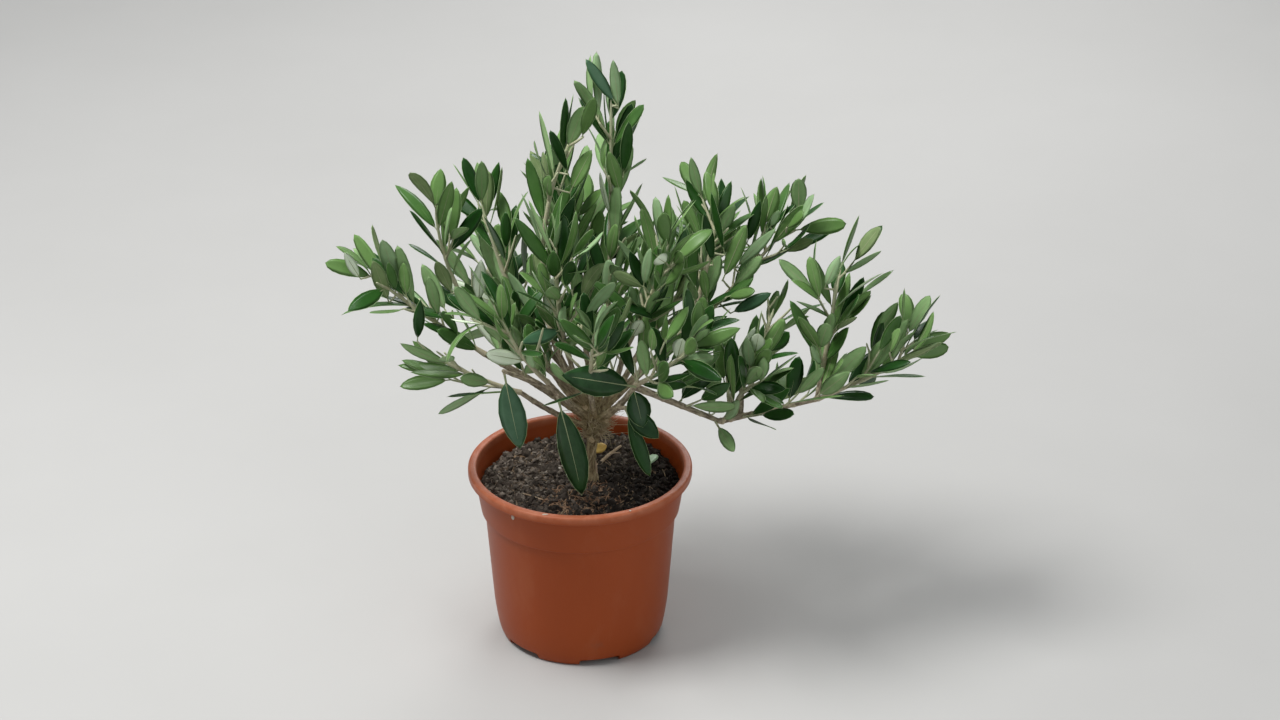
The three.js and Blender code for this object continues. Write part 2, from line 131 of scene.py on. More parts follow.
def turned(section, steps):
    """A bmesh spun from a section of radius and height points, closed along the axis and facing out."""
    bm = bmesh.new()
    verts = [bm.verts.new((radius, 0, height)) for radius, height in section]
    edges = [bm.edges.new(pair) for pair in zip(verts, verts[1:])]
    bmesh.ops.spin(
        bm, geom=verts + edges, cent=(0, 0, 0), axis=(0, 0, 1), angle=2 * math.pi, steps=steps, use_merge=True
    )
    bmesh.ops.remove_doubles(bm, verts=bm.verts, dist=1e-6)
    bmesh.ops.recalc_face_normals(bm, faces=bm.faces)
    return bm


def drain_cutter():
    """The blocks that leave a slot where each drain is, with rounded corners."""
    bm = bmesh.new()
    for i in range(DRAINS):
        block = bmesh.ops.create_cube(bm, size=1)["verts"]
        turn = Matrix.Rotation(math.radians(DRAIN_HEADING + i * 360 / DRAINS), 4, "Z")
        place = turn @ Matrix.Translation((FOOT_RADIUS, 0, 0)) @ Matrix.Diagonal((*DRAIN_SIZE, 1))
        bmesh.ops.transform(bm, verts=block, matrix=place)
    edges = bm.edges[:]
    bmesh.ops.bevel(bm, geom=edges, offset=DRAIN_ROUND, affect="EDGES", segments=3, profile=0.5, material=-1)
    return bm


def as_object(bm, name):
    """A bmesh as an object of the scene."""
    mesh = bpy.data.meshes.new(name)
    bm.to_mesh(mesh)
    bm.free()
    made = bpy.data.objects.new(name, mesh)
    bpy.context.scene.collection.objects.link(made)
    return made


def apply_modifiers(made):
    """Turns what the object's modifiers make into its own mesh."""
    seen = made.evaluated_get(bpy.context.evaluated_depsgraph_get())
    mesh = bpy.data.meshes.new_from_object(seen)
    made.modifiers.clear()
    made.data = mesh


def dress(made, materials, crease):
    """Gives a piece its finish and smooth faces, and lets it ride with the pot and plant."""
    for material in materials:
        made.data.materials.append(material)
    made.data.shade_smooth()
    made.data.set_sharp_from_angle(angle=math.radians(crease))
    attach(made, "root")


def new_group(name, inputs, outputs):
    """An empty shader group: its sockets are given as name and kind, and inputs with a value too."""
    group = bpy.data.node_groups.new(name, "ShaderNodeTree")
    for label, kind, value in inputs:
        socket = group.interface.new_socket(label, in_out="INPUT", socket_type=kind)
        socket.default_value = value
    for label, kind in outputs:
        group.interface.new_socket(label, in_out="OUTPUT", socket_type=kind)
    return group, group.nodes.new("NodeGroupInput"), group.nodes.new("NodeGroupOutput")


def add(tree, kind, values=None, **settings):
    """A node with its settings, its sockets set to values or linked to other nodes' sockets."""
    node = tree.nodes.new(kind)
    for key, value in settings.items():
        setattr(node, key, value)
    for key, value in (values or {}).items():
        socket = node.inputs[key]
        if isinstance(value, bpy.types.NodeSocket):
            tree.links.new(value, socket)
        else:
            socket.default_value = (*value, 1) if socket.type == "RGBA" else value
    return node


def blended(tree, factor, first, second, mode="MIX"):
    """The colour at a factor between two, or the first darkened by the second."""
    values = {"Factor": factor, "A": first, "B": second}
    return add(tree, "ShaderNodeMix", values, data_type="RGBA", blend_type=mode).outputs["Result"]


def ranged(tree, value, low, high):
    """How far a value has come from low to high, from 0 to 1."""
    values = {"Value": value, "From Min": low, "From Max": high}
    return add(tree, "ShaderNodeMapRange", values).outputs[0]


def mottle_group():
    """Patches that come and go over a surface: a mask, and a colour between two."""
    grey = (0.5, 0.5, 0.5, 1)
    group, given, out = new_group(
        "mottle",
        [
            ("Scale", "NodeSocketFloat", 50.0),
            ("Stretch", "NodeSocketVector", (1, 1, 1)),
            ("Low", "NodeSocketFloat", 0.35),
            ("High", "NodeSocketFloat", 0.65),
            ("First", "NodeSocketColor", grey),
            ("Second", "NodeSocketColor", grey),
        ],
        [("Color", "NodeSocketColor"), ("Mask", "NodeSocketFloat")],
    )
    place = add(group, "ShaderNodeTexCoord").outputs["Object"]
    drawn = add(group, "ShaderNodeVectorMath", {0: place, 1: given.outputs["Stretch"]}, operation="MULTIPLY")
    values = {"Vector": drawn.outputs[0], "Scale": given.outputs["Scale"], "Detail": 5.0, "Roughness": 0.6}
    cloud = add(group, "ShaderNodeTexNoise", values).outputs[0]
    mask = ranged(group, cloud, given.outputs["Low"], given.outputs["High"])
    colour = blended(group, mask, given.outputs["First"], given.outputs["Second"])
    group.links.new(colour, out.inputs["Color"])
    group.links.new(mask, out.inputs["Mask"])
    return group


MOTTLE = mottle_group()


COAT_ROUGHNESS = 0.25


def new_material(name, roughness, specular, coat=0.0):
    """A material whose shader has these plain values, with its tree and shader."""
    made = bpy.data.materials.new(name)
    made.use_nodes = True
    shader = made.node_tree.nodes["Principled BSDF"]
    shader.inputs["Roughness"].default_value = roughness
    shader.inputs["Specular IOR Level"].default_value = specular
    shader.inputs["Coat Weight"].default_value = coat
    shader.inputs["Coat Roughness"].default_value = COAT_ROUGHNESS
    return made, made.node_tree, shader


def mottled(tree, scale, first, second, low=0.35, high=0.65, stretch=(1, 1, 1)):
    """A mottle node in a material, between two colours."""
    values = {"Scale": scale, "Stretch": stretch, "Low": low, "High": high, "First": first, "Second": second}
    return add(tree, "ShaderNodeGroup", values, node_tree=MOTTLE)


def bumped(tree, shader, height, depth):
    """Gives a shader the relief of a height, at its real depth."""
    bump = add(tree, "ShaderNodeBump", {"Height": height, "Distance": depth, "Strength": 1.0})
    tree.links.new(bump.outputs["Normal"], shader.inputs["Normal"])


def surfaced(tree, shader, colour, fineness, depth):
    """Gives a shader its colour, and a fine grain at its real depth."""
    tree.links.new(colour, shader.inputs["Base Color"])
    grain = mottled(tree, fineness, (0, 0, 0), (1, 1, 1), 0.2, 0.8)
    bumped(tree, shader, grain.outputs["Mask"], depth)


TERRACOTTA = (0.330, 0.060, 0.010)
TERRACOTTA_DEEP = (0.275, 0.047, 0.008)
LIME_BLOOM = (0.36, 0.095, 0.036)
# Painted highlight on the top of the lip.
LIP_HIGHLIGHT = (0.455, 0.157, 0.083)
SOIL_SMEAR = (0.17, 0.075, 0.042)


def pot_material():
    """Satin plastic: faint flow streaks, a bloom of hard water, thin smears of soil, and a paler lip, which is a
    painted highlight in patches along its top.
    """
    made, tree, shader = new_material("pot_plastic", 0.45, 0.2)
    plastic = mottled(tree, 9, TERRACOTTA_DEEP, TERRACOTTA, 0.3, 0.7, (1, 1, 0.35))
    bloom = mottled(tree, 38, plastic.outputs["Color"], LIME_BLOOM, 0.56, 0.95, (1, 1, 0.5))
    place = add(tree, "ShaderNodeTexCoord").outputs["Object"]
    height = add(tree, "ShaderNodeSeparateXYZ", {0: place}).outputs["Z"]
    # The lip's painted highlight: paler in patches towards the top of the lip.
    lip = ranged(tree, height, POT_HEIGHT - LIP_HEIGHT, POT_HEIGHT - LIP_ROUND)
    highlight_patches = mottled(tree, 130, (0, 0, 0), (1, 1, 1), 0.1, 0.75)
    highlight_mask = add(tree, "ShaderNodeMath", {0: lip, 1: highlight_patches.outputs["Mask"]}, operation="MULTIPLY")
    rim = blended(tree, highlight_mask.outputs[0], bloom.outputs["Color"], LIP_HIGHLIGHT)
    smear = mottled(tree, 55, rim, SOIL_SMEAR, 0.66, 0.95)
    rough = add(tree, "ShaderNodeMapRange", {"Value": bloom.outputs["Mask"], "To Min": 0.40, "To Max": 0.62})
    tree.links.new(rough.outputs[0], shader.inputs["Roughness"])
    surfaced(tree, shader, smear.outputs["Color"], 1400, 0.00006)
    return made


pot = as_object(turned(pot_outside() + pot_inside(), POT_STEPS), "nursery_pot")
cutter = as_object(drain_cutter(), "drain_cutter")
cut = pot.modifiers.new("drains", "BOOLEAN")
cut.operation = "DIFFERENCE"
cut.object = cutter
apply_modifiers(pot)
bpy.data.objects.remove(cutter)
dress(pot, [pot_material()], crease=40)
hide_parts("pot")

# The soil: dark, fibrous potting mix that fills the pot to about 10 mm below its rim.
# A rough bed, heaped a little at the back, with crumbs, pale grit and root fibres lying loose on it.
SOIL_LEVEL = 0.098
SOIL_GAP = 0.0006
SOIL_SIDE_GAP = 0.0004
SOIL_RADIUS = RIM_RADIUS - LIP_WIDTH - 0.0018
SOIL_RINGS = 64
SOIL_STEPS = 200
SOIL_HEAP = 0.004
SOIL_HEAP_PLACE = Vector((0.026, 0.034, 0))
SOIL_HEAP_WIDTH = 0.026
SOIL_DIP = 0.0040
SOIL_DIP_FROM = 0.75
SOIL_MOUND = 0.0012
SOIL_MOUND_PLACE = Vector((0.006, -0.0045, 0))
SOIL_MOUND_WIDTH = 0.011
SOIL_SWELL = 0.0013
SOIL_SWELL_FINENESS = 60
SOIL_LUMPS = 0.0019
SOIL_LUMP_FINENESS = 170
# roughness, step and number of octaves
SOIL_LUMP_OCTAVES = (0.7, 2.2, 5)


def soil_height(x, y):
    """The height of the soil's top at a place."""
    place = Vector((x, y, 0))
    heap = SOIL_HEAP * math.exp(-((place - SOIL_HEAP_PLACE).length / SOIL_HEAP_WIDTH) ** 2)
    mound = SOIL_MOUND * math.exp(-((place - SOIL_MOUND_PLACE).length / SOIL_MOUND_WIDTH) ** 2)
    edge = SOIL_DIP * max(0, (place.length / SOIL_RADIUS - SOIL_DIP_FROM) / (1 - SOIL_DIP_FROM)) ** 2
    swell = SOIL_SWELL * noise.noise(place * SOIL_SWELL_FINENESS)
    lumps = SOIL_LUMPS * noise.fractal(place * SOIL_LUMP_FINENESS, *SOIL_LUMP_OCTAVES)
    return SOIL_LEVEL + heap + mound - edge + swell + lumps


def soil_bed():
    """The bed: spun from its section, then pushed up and down into lumps."""
    wall = reversed(pot_inside()[INNER_LIP_POINTS:])
    side = [(radius - SOIL_GAP - SOIL_SIDE_GAP, height + SOIL_GAP) for radius, height in wall]
    top = [(SOIL_RADIUS * (1 - i / SOIL_RINGS), SOIL_LEVEL) for i in range(SOIL_RINGS + 1)]
    side[0] = (0, side[0][1])
    bm = turned(side + top, SOIL_STEPS)
    for vert in bm.verts:
        if vert.co.z > SOIL_LEVEL - SOIL_GAP:
            vert.co.z = soil_height(vert.co.x, vert.co.y)
    return bm


def template(bm):
    """A bmesh as arrays, to be copied many times: its corners, and its faces as triangles."""
    bmesh.ops.triangulate(bm, faces=bm.faces)
    bm.verts.index_update()
    corners = np.array([vert.co for vert in bm.verts])
    faces = np.array([[vert.index for vert in face.verts] for face in bm.faces])
    bm.free()
    return corners, faces


def ball(subdivisions):
    """A ball of radius 1, as a template."""
    bm = bmesh.new()
    bmesh.ops.create_icosphere(bm, subdivisions=subdivisions, radius=1)
    return template(bm)


def joined(name, copies, faces, marks=None):
    """One mesh object of many copies of a template, and the material of each face where there are several."""
    count, corners = copies.shape[:2]
    firsts = np.arange(count)[:, None, None] * corners
    mesh = bpy.data.meshes.new(name)
    mesh.from_pydata(copies.reshape(-1, 3).tolist(), [], (faces[None] + firsts).reshape(-1, 3).tolist())
    if marks is not None:
        mesh.polygons.foreach_set("material_index", marks.reshape(-1).astype(np.int32))
    made = bpy.data.objects.new(name, mesh)
    bpy.context.scene.collection.objects.link(made)
    return made


def soil_place(random, count, reach=0.96):
    """Random places on the soil's top, even over its area, at the height of the bed."""
    away = SOIL_RADIUS * reach * np.sqrt(random.random(count))
    around = random.random(count) * 2 * np.pi
    x, y = away * np.cos(around), away * np.sin(around)
    return np.array([(a, b, soil_height(a, b)) for a, b in zip(x, y)])


def turns(random, count):
    """Random turns of space, one for each copy, as matrices."""
    quarters = random.normal(size=(count, 4))
    w, x, y, z = (quarters / np.linalg.norm(quarters, axis=1, keepdims=True)).T
    return np.array(
        [
            [1 - 2 * (y * y + z * z), 2 * (x * y - w * z), 2 * (x * z + w * y)],
            [2 * (x * y + w * z), 1 - 2 * (x * x + z * z), 2 * (y * z - w * x)],
            [2 * (x * z - w * y), 2 * (y * z + w * x), 1 - 2 * (x * x + y * y)],
        ]
    ).transpose(2, 0, 1)


CRUMB_RISE = 0.2
CRUMB_LUMPS = 0.9
CRUMB_FLATTEST = 0.45
CRUMB_SPREAD = 0.8


def crumbs(name, seed, count, smallest, largest):
    """Loose grains on the bed: lumpy little stones of many sizes, turned every way."""
    random = np.random.default_rng(seed)
    round_grain, faces = ball(1)
    size = smallest + (largest - smallest) * random.random(count) ** 3
    lumps = 1 + CRUMB_LUMPS * (random.random((count, len(round_grain), 1)) - 0.5)
    squash = CRUMB_FLATTEST + CRUMB_SPREAD * random.random((count, 1, 3))
    grains = round_grain[None] * lumps * squash * size[:, None, None]
    grains = np.einsum("nij,nvj->nvi", turns(random, count), grains)
    place = soil_place(random, count) + np.outer(size * CRUMB_RISE, (0, 0, 1))
    return joined(name, grains + place[:, None], faces)


DULL_GRAIN = (2200, 0.0003)


def plain_material(name, dark, light, scale):
    """Dull fibrous matter between two near colours."""
    made, tree, shader = new_material(name, 0.95, 0.25)
    tone = mottled(tree, scale, dark, light, 0.35, 0.7)
    surfaced(tree, shader, tone.outputs["Color"], *DULL_GRAIN)
    return made


# Painted shade on the soil, bed and crumbs alike: lighter towards this side, darker towards the front and right.
LIT_SIDE = (-0.7, 0.7, 0)
SHADE_DRIFT = 0.03
SHADE_RAMP = (-0.022, 0.032)
PAINTED_SHADE_TINT = (0.15, 0.13, 0.12)


def soil_material(name, dark, light, scale):
    """Crumbly soil between two browns, with painted shade: lighter on one side of the pot and darker on the
    other.
    """
    made, tree, shader = new_material(name, 0.95, 0.25)
    tone = mottled(tree, scale, dark, light, 0.35, 0.7)
    place = add(tree, "ShaderNodeTexCoord").outputs["Object"]
    across = add(tree, "ShaderNodeVectorMath", {0: place, 1: LIT_SIDE}, operation="DOT_PRODUCT")
    drift = mottled(tree, 45, (0, 0, 0), (1, 1, 1)).outputs["Mask"]
    values = {0: drift, 1: SHADE_DRIFT, 2: across.outputs["Value"]}
    uneven = add(tree, "ShaderNodeMath", values, operation="MULTIPLY_ADD").outputs[0]
    # A painted shade: darker away from the lit side of the pot, over a patchy edge.
    shade = blended(tree, ranged(tree, uneven, *SHADE_RAMP), PAINTED_SHADE_TINT, (1, 1, 1))
    mixed = blended(tree, 1.0, tone.outputs["Color"], shade, "MULTIPLY")
    surfaced(tree, shader, mixed, *DULL_GRAIN)
    return made


def rod(sides, rings):
    """A closed rod of radius 1 along Z from 0 to 1, cut into rings, as a template."""
    bm = bmesh.new()
    bmesh.ops.create_cone(bm, cap_ends=True, segments=sides, radius1=1, radius2=1, depth=1)
    bmesh.ops.translate(bm, verts=bm.verts, vec=(0, 0, 0.5))
    upright = [edge for edge in bm.edges if abs(edge.verts[0].co.z - edge.verts[1].co.z) > 0.5]
    bmesh.ops.subdivide_edges(bm, edges=upright, cuts=rings - 1, use_grid_fill=True)
    return template(bm)


def unit(vectors):
    """The vectors at length 1."""
    return vectors / np.linalg.norm(vectors, axis=-1, keepdims=True)


def swept(shape, lines, radii):
    """A rod's copies bent along lines: each line's points, one for each ring, and the radius at each."""
    corners = shape[0]
    ring = np.rint(corners[:, 2] * (lines.shape[1] - 1)).astype(int)
    ahead = unit(np.gradient(lines, axis=1))
    aside = np.where(np.abs(ahead[:, :1, 2:]) > 0.8, (1.0, 0.0, 0.0), (0.0, 0.0, 1.0))
    first = unit(np.cross(ahead, aside))
    second = np.cross(ahead, first)
    reach = radii[:, ring, None]
    return (
        lines[:, ring]
        + first[:, ring] * corners[None, :, :1] * reach
        + second[:, ring] * corners[None, :, 1:2] * reach
    )


def rods(name, sides, lines, radii):
    """One mesh object of rods bent along lines."""
    shape = rod(sides, lines.shape[1] - 1)
    return joined(name, swept(shape, lines, radii), shape[1])


FIBRE_RINGS = 7
FIBRE_BEND = 3.5
FIBRE_ARCH = 0.0004
FIBRE_ARCH_SPREAD = 0.0012


def fibres(name, seed, count, shortest, longest, radius, centre=(0, 0, 0), spread=0.86):
    """Root fibres: fine threads that lie on the bed round a place, bent and a little arched."""
    random = np.random.default_rng(seed)
    share = np.linspace(-0.5, 0.5, FIBRE_RINGS + 1)
    length = shortest + (longest - shortest) * random.random(count) ** 2
    heading = random.random(count) * 2 * np.pi
    bend = (random.random(count) - 0.5) * FIBRE_BEND
    turn = heading[:, None] + bend[:, None] * share[None]
    steps = length[:, None, None] / FIBRE_RINGS * np.stack([np.cos(turn), np.sin(turn), 0 * turn], axis=2)
    lines = np.cumsum(steps, axis=1)
    lines += (soil_place(random, count, spread) + centre)[:, None] - lines[:, FIBRE_RINGS // 2][:, None]
    for line in lines:
        for point in line:
            point[2] = soil_height(point[0], point[1])
    arch = FIBRE_ARCH + FIBRE_ARCH_SPREAD * random.random((count, 1))
    lines[:, :, 2] += np.sin(np.pi * (share + 0.5)) * arch
    return rods(name, 3, lines, np.full(lines.shape[:2], radius))


bed = as_object(soil_bed(), "soil_bed")
bed_soil = soil_material("soil_bed", (0.034, 0.026, 0.020), (0.220, 0.180, 0.148), 420)
dress(bed, [bed_soil], crease=80)
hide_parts("soil")
LOOSE_SOIL = (
    # name, seed, count, smallest and largest size, dark and light brown
    ("soil_crumbs_dark", 11, 4200, 0.0005, 0.0028, (0.032, 0.024, 0.018), (0.162, 0.130, 0.105)),
    ("soil_crumbs_brown", 12, 3600, 0.0003, 0.0019, (0.160, 0.126, 0.100), (0.380, 0.325, 0.272)),
    ("soil_grit_pale", 13, 130, 0.0003, 0.0009, (0.26, 0.22, 0.17), (0.46, 0.42, 0.35)),
)
for label, seed, count, smallest, largest, dark, light in LOOSE_SOIL:
    loose = crumbs(label, seed, count, smallest, largest)
    dress(loose, [soil_material(label, dark, light, 300)], crease=25)
strands = fibres("soil_fibres", 14, 480, 0.004, 0.016, 0.00016)
strand_brown = plain_material("soil_fibres", (0.13, 0.080, 0.048), (0.44, 0.32, 0.21), 200)
dress(strands, [strand_brown], crease=80)
tuft = fibres("root_tuft", 15, 330, 0.006, 0.020, 0.00022, (0.002, -0.026, 0), 0.36)
tuft_brown = plain_material("root_tuft", (0.16, 0.080, 0.044), (0.46, 0.30, 0.19), 200)
dress(tuft, [tuft_brown], crease=80)

# The tree's growth: a short trunk whose head carries the boughs, and a spray of shoots on each bough.
# A branch leaves its carrier at a share of its length, and ends as a bough at the knee.
# From there the stem of its spray grows on to the tip.
TRUNK_FOOT = np.array((0.006, -0.0045, 0.095))
TRUNK_LEAN = np.array((0.0055, -0.004, 0.118))
TRUNK_HEAD = np.array((0.010, 0.002, 0.143))
TRUNK_GIRTH = (0.0056, 0.0046, 0.0034, 0.0029, 0.0028, 0.0032, 0.0046, 0.006, 0.005)
STEM_OVERLAP = 0.001
BRANCHES = (
    # name, carrier, share, thickness, knee, bow, tip, lift, forks, twiggy share of its stem
    ("left", "trunk", 0.84, 0.003, (-0.054, -0.012, 0.186), -0.001, (-0.115, -0.024, 0.241), 0.001, 6, 0.5),
    ("front_right", "trunk", 0.86, 0.0026, (0.032, -0.028, 0.174), 0.003, (0.062, -0.054, 0.21), 0.002, 6, 0.7),
    ("right_high", "trunk", 0.92, 0.0028, (0.075, 0.025, 0.193), -0.001, (0.121, 0.042, 0.24), 0.001, 7, 0.5),
    ("leader_left", "trunk", 0.97, 0.0026, (-0.016, 0.008, 0.188), 0.003, (0.004, 0.017, 0.318), 0.015, 6, 0.3),
    ("leader_right", "trunk", 0.97, 0.0026, (0.017, 0.02, 0.192), 0.001, (0.019, 0.031, 0.322), 0.002, 6, 0.2),
    ("left_rise", "trunk", 0.9, 0.0023, (-0.048, 0.007, 0.184), -0.006, (-0.08, 0.013, 0.266), 0.008, 2, 0),
    ("left_upright", "trunk", 0.93, 0.0022, (-0.028, 0.026, 0.18), -0.003, (-0.055, 0.044, 0.254), 0.003, 3, 0),
    ("left_low", "trunk", 0.76, 0.0021, (-0.034, -0.015, 0.163), 0.002, (-0.086, -0.028, 0.196), 0.002, 5, 0.6),
    ("centre_right", "trunk", 0.94, 0.0024, (0.025, -0.009, 0.184), 0.003, (0.05, -0.019, 0.256), 0.002, 7, 0.6),
    ("centre_left", "trunk", 0.95, 0.0023, (-0.006, -0.008, 0.182), 0.002, (-0.012, -0.02, 0.254), 0.003, 7, 0.6),
    ("front_left", "trunk", 0.87, 0.0023, (-0.018, -0.028, 0.176), 0.002, (-0.042, -0.056, 0.228), 0.003, 6, 0.6),
    ("front", "trunk", 0.9, 0.0021, (0.006, -0.028, 0.176), 0.003, (0.008, -0.062, 0.222), 0.003, 5, 0.7),
    ("right_mid", "front_right", 0.95, 0.0022, (0.082, -0.018, 0.1435), 0, (0.096, -0.03, 0.184), 0.002, 5, 0.7),
    ("right_low", "right_mid", 0.96, 0.0019, (0.137, -0.008, 0.153), 0, (0.19, 0, 0.177), 0.001, 6, 0.6),
    ("right_rear", "right_low", 0.2, 0.0018, (0.092, 0.003, 0.161), 0.001, (0.112, 0.022, 0.196), 0.002, 5, 0.6),
    ("right_fan", "right_high", 0.8, 0.002, (0.068, 0.021, 0.201), 0, (0.079, 0.031, 0.25), 0.001, 5, 0.4),
    ("right_rise", "right_low", 0.98, 0.0017, (0.139, -0.005, 0.173), 0, (0.145, -0.003, 0.224), 0.001, 3, 0.15),
    ("back", "trunk", 0.9, 0.0026, (0.008, 0.036, 0.182), 0.003, (0.004, 0.082, 0.236), 0.004, 6, 0.6),
    ("back_high", "trunk", 0.96, 0.0023, (0.002, 0.026, 0.19), 0.002, (-0.01, 0.056, 0.262), 0.003, 6, 0.5),
    ("back_left", "trunk", 0.84, 0.0024, (-0.024, 0.032, 0.168), 0.003, (-0.05, 0.08, 0.196), 0.004, 6, 0.5),
    ("back_right", "trunk", 0.86, 0.0024, (0.038, 0.036, 0.17), 0.003, (0.076, 0.074, 0.214), 0.004, 6, 0.6),
    ("hang_left", "front_left", 0.8, 0.0015, (-0.043, -0.0375, 0.188), 0, (-0.0345, -0.042, 0.1395), 0, 0, 0),
    ("hang_centre", "front_left", 0.4, 0.0015, (-0.013, -0.03, 0.168), 0, (0.0025, -0.034, 0.1085), 0, 0, 0),
    ("hang_right", "front_right", 0.45, 0.0015, (0.026, -0.03, 0.16), 0, (0.0395, -0.036, 0.119), 0, 0, 0),
)
NAMES = [branch[0] for branch in BRANCHES]
STUBS = (
    # degrees round, degrees up, share of the trunk, length, thickness
    (205, 52, 0.86, 0.011, 0.0021),
    (325, 30, 0.82, 0.010, 0.0020),
    (80, 35, 0.78, 0.009, 0.0020),
    (262, 12, 0.66, 0.007, 0.0018),
)


def bowed(start, tip, bow):
    """The bend between two points, bowed outward from the trunk's head: its start, control point and tip."""
    middle = (start + tip) / 2
    chord = unit(tip - start)
    outward = (middle - TRUNK_HEAD) * (1, 1, 0)
    outward = unit(outward - outward.dot(chord) * chord)
    return start, middle + 2 * bow * outward, tip


def straight(start, tip):
    """A straight line as a bend."""
    return start, (start + tip) / 2, tip


def spot(bend, share):
    """The point at a share of a bend, or one for each of several shares."""
    share = np.asarray(share, float)[..., None]
    start, control, tip = bend
    return (1 - share) ** 2 * start + 2 * share * (1 - share) * control + share**2 * tip


def heading(bend, share):
    """The direction of a bend at a share."""
    start, control, tip = bend
    return unit((1 - share) * (control - start) + share * (tip - control))


LENGTH_POINTS = 60


def length_of(bend):
    """A bend's length."""
    return np.linalg.norm(np.diff(spot(bend, np.linspace(0, 1, LENGTH_POINTS)), axis=0), axis=1).sum()


limbs = {"trunk": (TRUNK_FOOT, TRUNK_LEAN, TRUNK_HEAD)}
limb_radii = [max(TRUNK_GIRTH)]
stems = []
for name, carrier, share, thick, knee, bow, tip, lift, *_ in BRANCHES:
    limbs[name] = bowed(spot(limbs[carrier], share), np.array(knee), bow)
    limb_radii.append(thick)
    foot = limbs[name][2] - STEM_OVERLAP * heading(limbs[name], 1)
    stems.append(bowed(foot, np.array(tip), lift))

# Bark: the trunk, its pruned stubs and the boughs, grown together where they meet.
# Grey-brown young bark with furrows along each limb, a ring at each old pair of leaves, and pale cut ends.
BARK_VOXEL = 0.0005
BARK_SMOOTHING = 5
TRUNK_SIDES = 24
TRUNK_RINGS = 60
BOUGH_SIDES = 12
BOUGH_RINGS = 26
FLARE = 0.16
FLARE_HEIGHT = 0.014
ROOTS = 3
ROOT_TURN = 0.6
KNEE_LEAST = 0.0009
KNEE_SHARE = 0.25
STUB_SPREAD = 0.0008
KNOTS = 7
KNOT_SEED = 5
KNOT_RADIUS = 0.0034
KNOT_SEAT = 0.0036
KNOTS_FROM = 0.72
KNOTS_REACH = 0.26
LIMB_STEPS = 32
FURROW = 0.00045
BOUGH_FURROW = 0.45 * FURROW
FURROWS_ROUND = 900
FURROWS_ALONG = 200
FURROW_SLANT = 0.7
FURROW_SHIFT = 9
FURROW_OCTAVES = (0.6, 2.1, 4)
LEAF_RING = 0.00022
RING_PALE = 0.6
RING_SPACING = 0.0125
RING_SHARPNESS = 14
TAN_REACH = 0.008
TAN_FADE = 0.024


def stub_places():
    """Each pruned stub's foot, direction, length and thickness."""
    for around, up, at, length, thick in STUBS:
        a, e = math.radians(around), math.radians(up)
        way = np.array((math.cos(a) * math.cos(e), math.sin(a) * math.cos(e), math.sin(e)))
        yield spot(limbs["trunk"], at), way, length, thick


def limb_rods():
    """The trunk's rod with the flare of its roots, and the rods of the boughs and stubs."""
    trunk_rod = rod(TRUNK_SIDES, TRUNK_RINGS)
    share = np.linspace(0, 1, TRUNK_RINGS + 1)
    girth = np.interp(share, np.linspace(0, 1, len(TRUNK_GIRTH)), TRUNK_GIRTH)
    trunk = swept(trunk_rod, spot(limbs["trunk"], share)[None], girth[None])[0]
    height = np.clip((trunk[:, 2] - SOIL_LEVEL) / FLARE_HEIGHT, 0, 1)
    around = np.arctan2(trunk[:, 1] - TRUNK_FOOT[1], trunk[:, 0] - TRUNK_FOOT[0])
    flare = 1 + FLARE * (1 - height) ** 2 * np.cos(ROOTS * around + ROOT_TURN)
    trunk[:, :2] = TRUNK_FOOT[:2] + (trunk[:, :2] - TRUNK_FOOT[:2]) * flare[:, None]
    share = np.linspace(0, 1, BOUGH_RINGS + 1)
    lines = [spot(limbs[name], share) for name in NAMES]
    girths = [np.interp(share, (0, 1), (thick, KNEE_LEAST + KNEE_SHARE * thick)) for thick in limb_radii[1:]]
    for foot, way, length, thick in stub_places():
        lines.append(spot(straight(foot, foot + length * way), share))
        girths.append(np.interp(share, (0, 1), (thick + STUB_SPREAD, thick)))
    boughs = rods("bough_rods", BOUGH_SIDES, np.array(lines), np.array(girths))
    return joined("trunk_rod", trunk[None], trunk_rod[1]), boughs


def knots():
    """Swollen knots round the trunk's head, where shoots were cut back year after year."""
    random = np.random.default_rng(KNOT_SEED)
    round_knot, faces = ball(2)
    place = spot(limbs["trunk"], KNOTS_FROM + KNOTS_REACH * random.random(KNOTS))
    place += KNOT_SEAT * unit(random.normal(size=(KNOTS, 3)) * (1, 1, 0.4))
    size = KNOT_RADIUS * (0.55 + 0.5 * random.random((KNOTS, 1, 1)))
    return joined("knots", round_knot[None] * size + place[:, None], faces)


def raw_bark():
    """All the limbs as one mesh, fused by voxels and smoothed at the forks."""
    bm = bmesh.new()
    for part in (*limb_rods(), knots()):
        bm.from_mesh(part.data)
        bpy.data.objects.remove(part)
    made = as_object(bm, "bark")
    fuse = made.modifiers.new("fuse", "REMESH")
    fuse.mode = "VOXEL"
    fuse.voxel_size = BARK_VOXEL
    apply_modifiers(made)
    return made


def along_limbs(points):
    """For each point: the nearest limb, how many metres along it, and the offset from its axis."""
    shares = np.linspace(0, 1, LIMB_STEPS + 1)
    nearest = np.full(len(points), np.inf)
    found = np.zeros(len(points), int)
    run = np.zeros(len(points))
    off = np.zeros((len(points), 3))
    for number, bend in enumerate(limbs.values()):
        axis = spot(bend, shares)
        steps = np.concatenate([[0], np.cumsum(np.linalg.norm(np.diff(axis, axis=0), axis=1))])
        for i in range(LIMB_STEPS):
            edge = axis[i + 1] - axis[i]
            part = np.clip((points - axis[i]) @ edge / edge.dot(edge), 0, 1)
            away = points - (axis[i] + part[:, None] * edge)
            reach = np.linalg.norm(away, axis=1) - limb_radii[number]
            closer = reach < nearest
            nearest[closer] = reach[closer]
            found[closer] = number
            run[closer] = steps[i] + part[closer] * (steps[i + 1] - steps[i])
            off[closer] = away[closer]
    return found, run, off


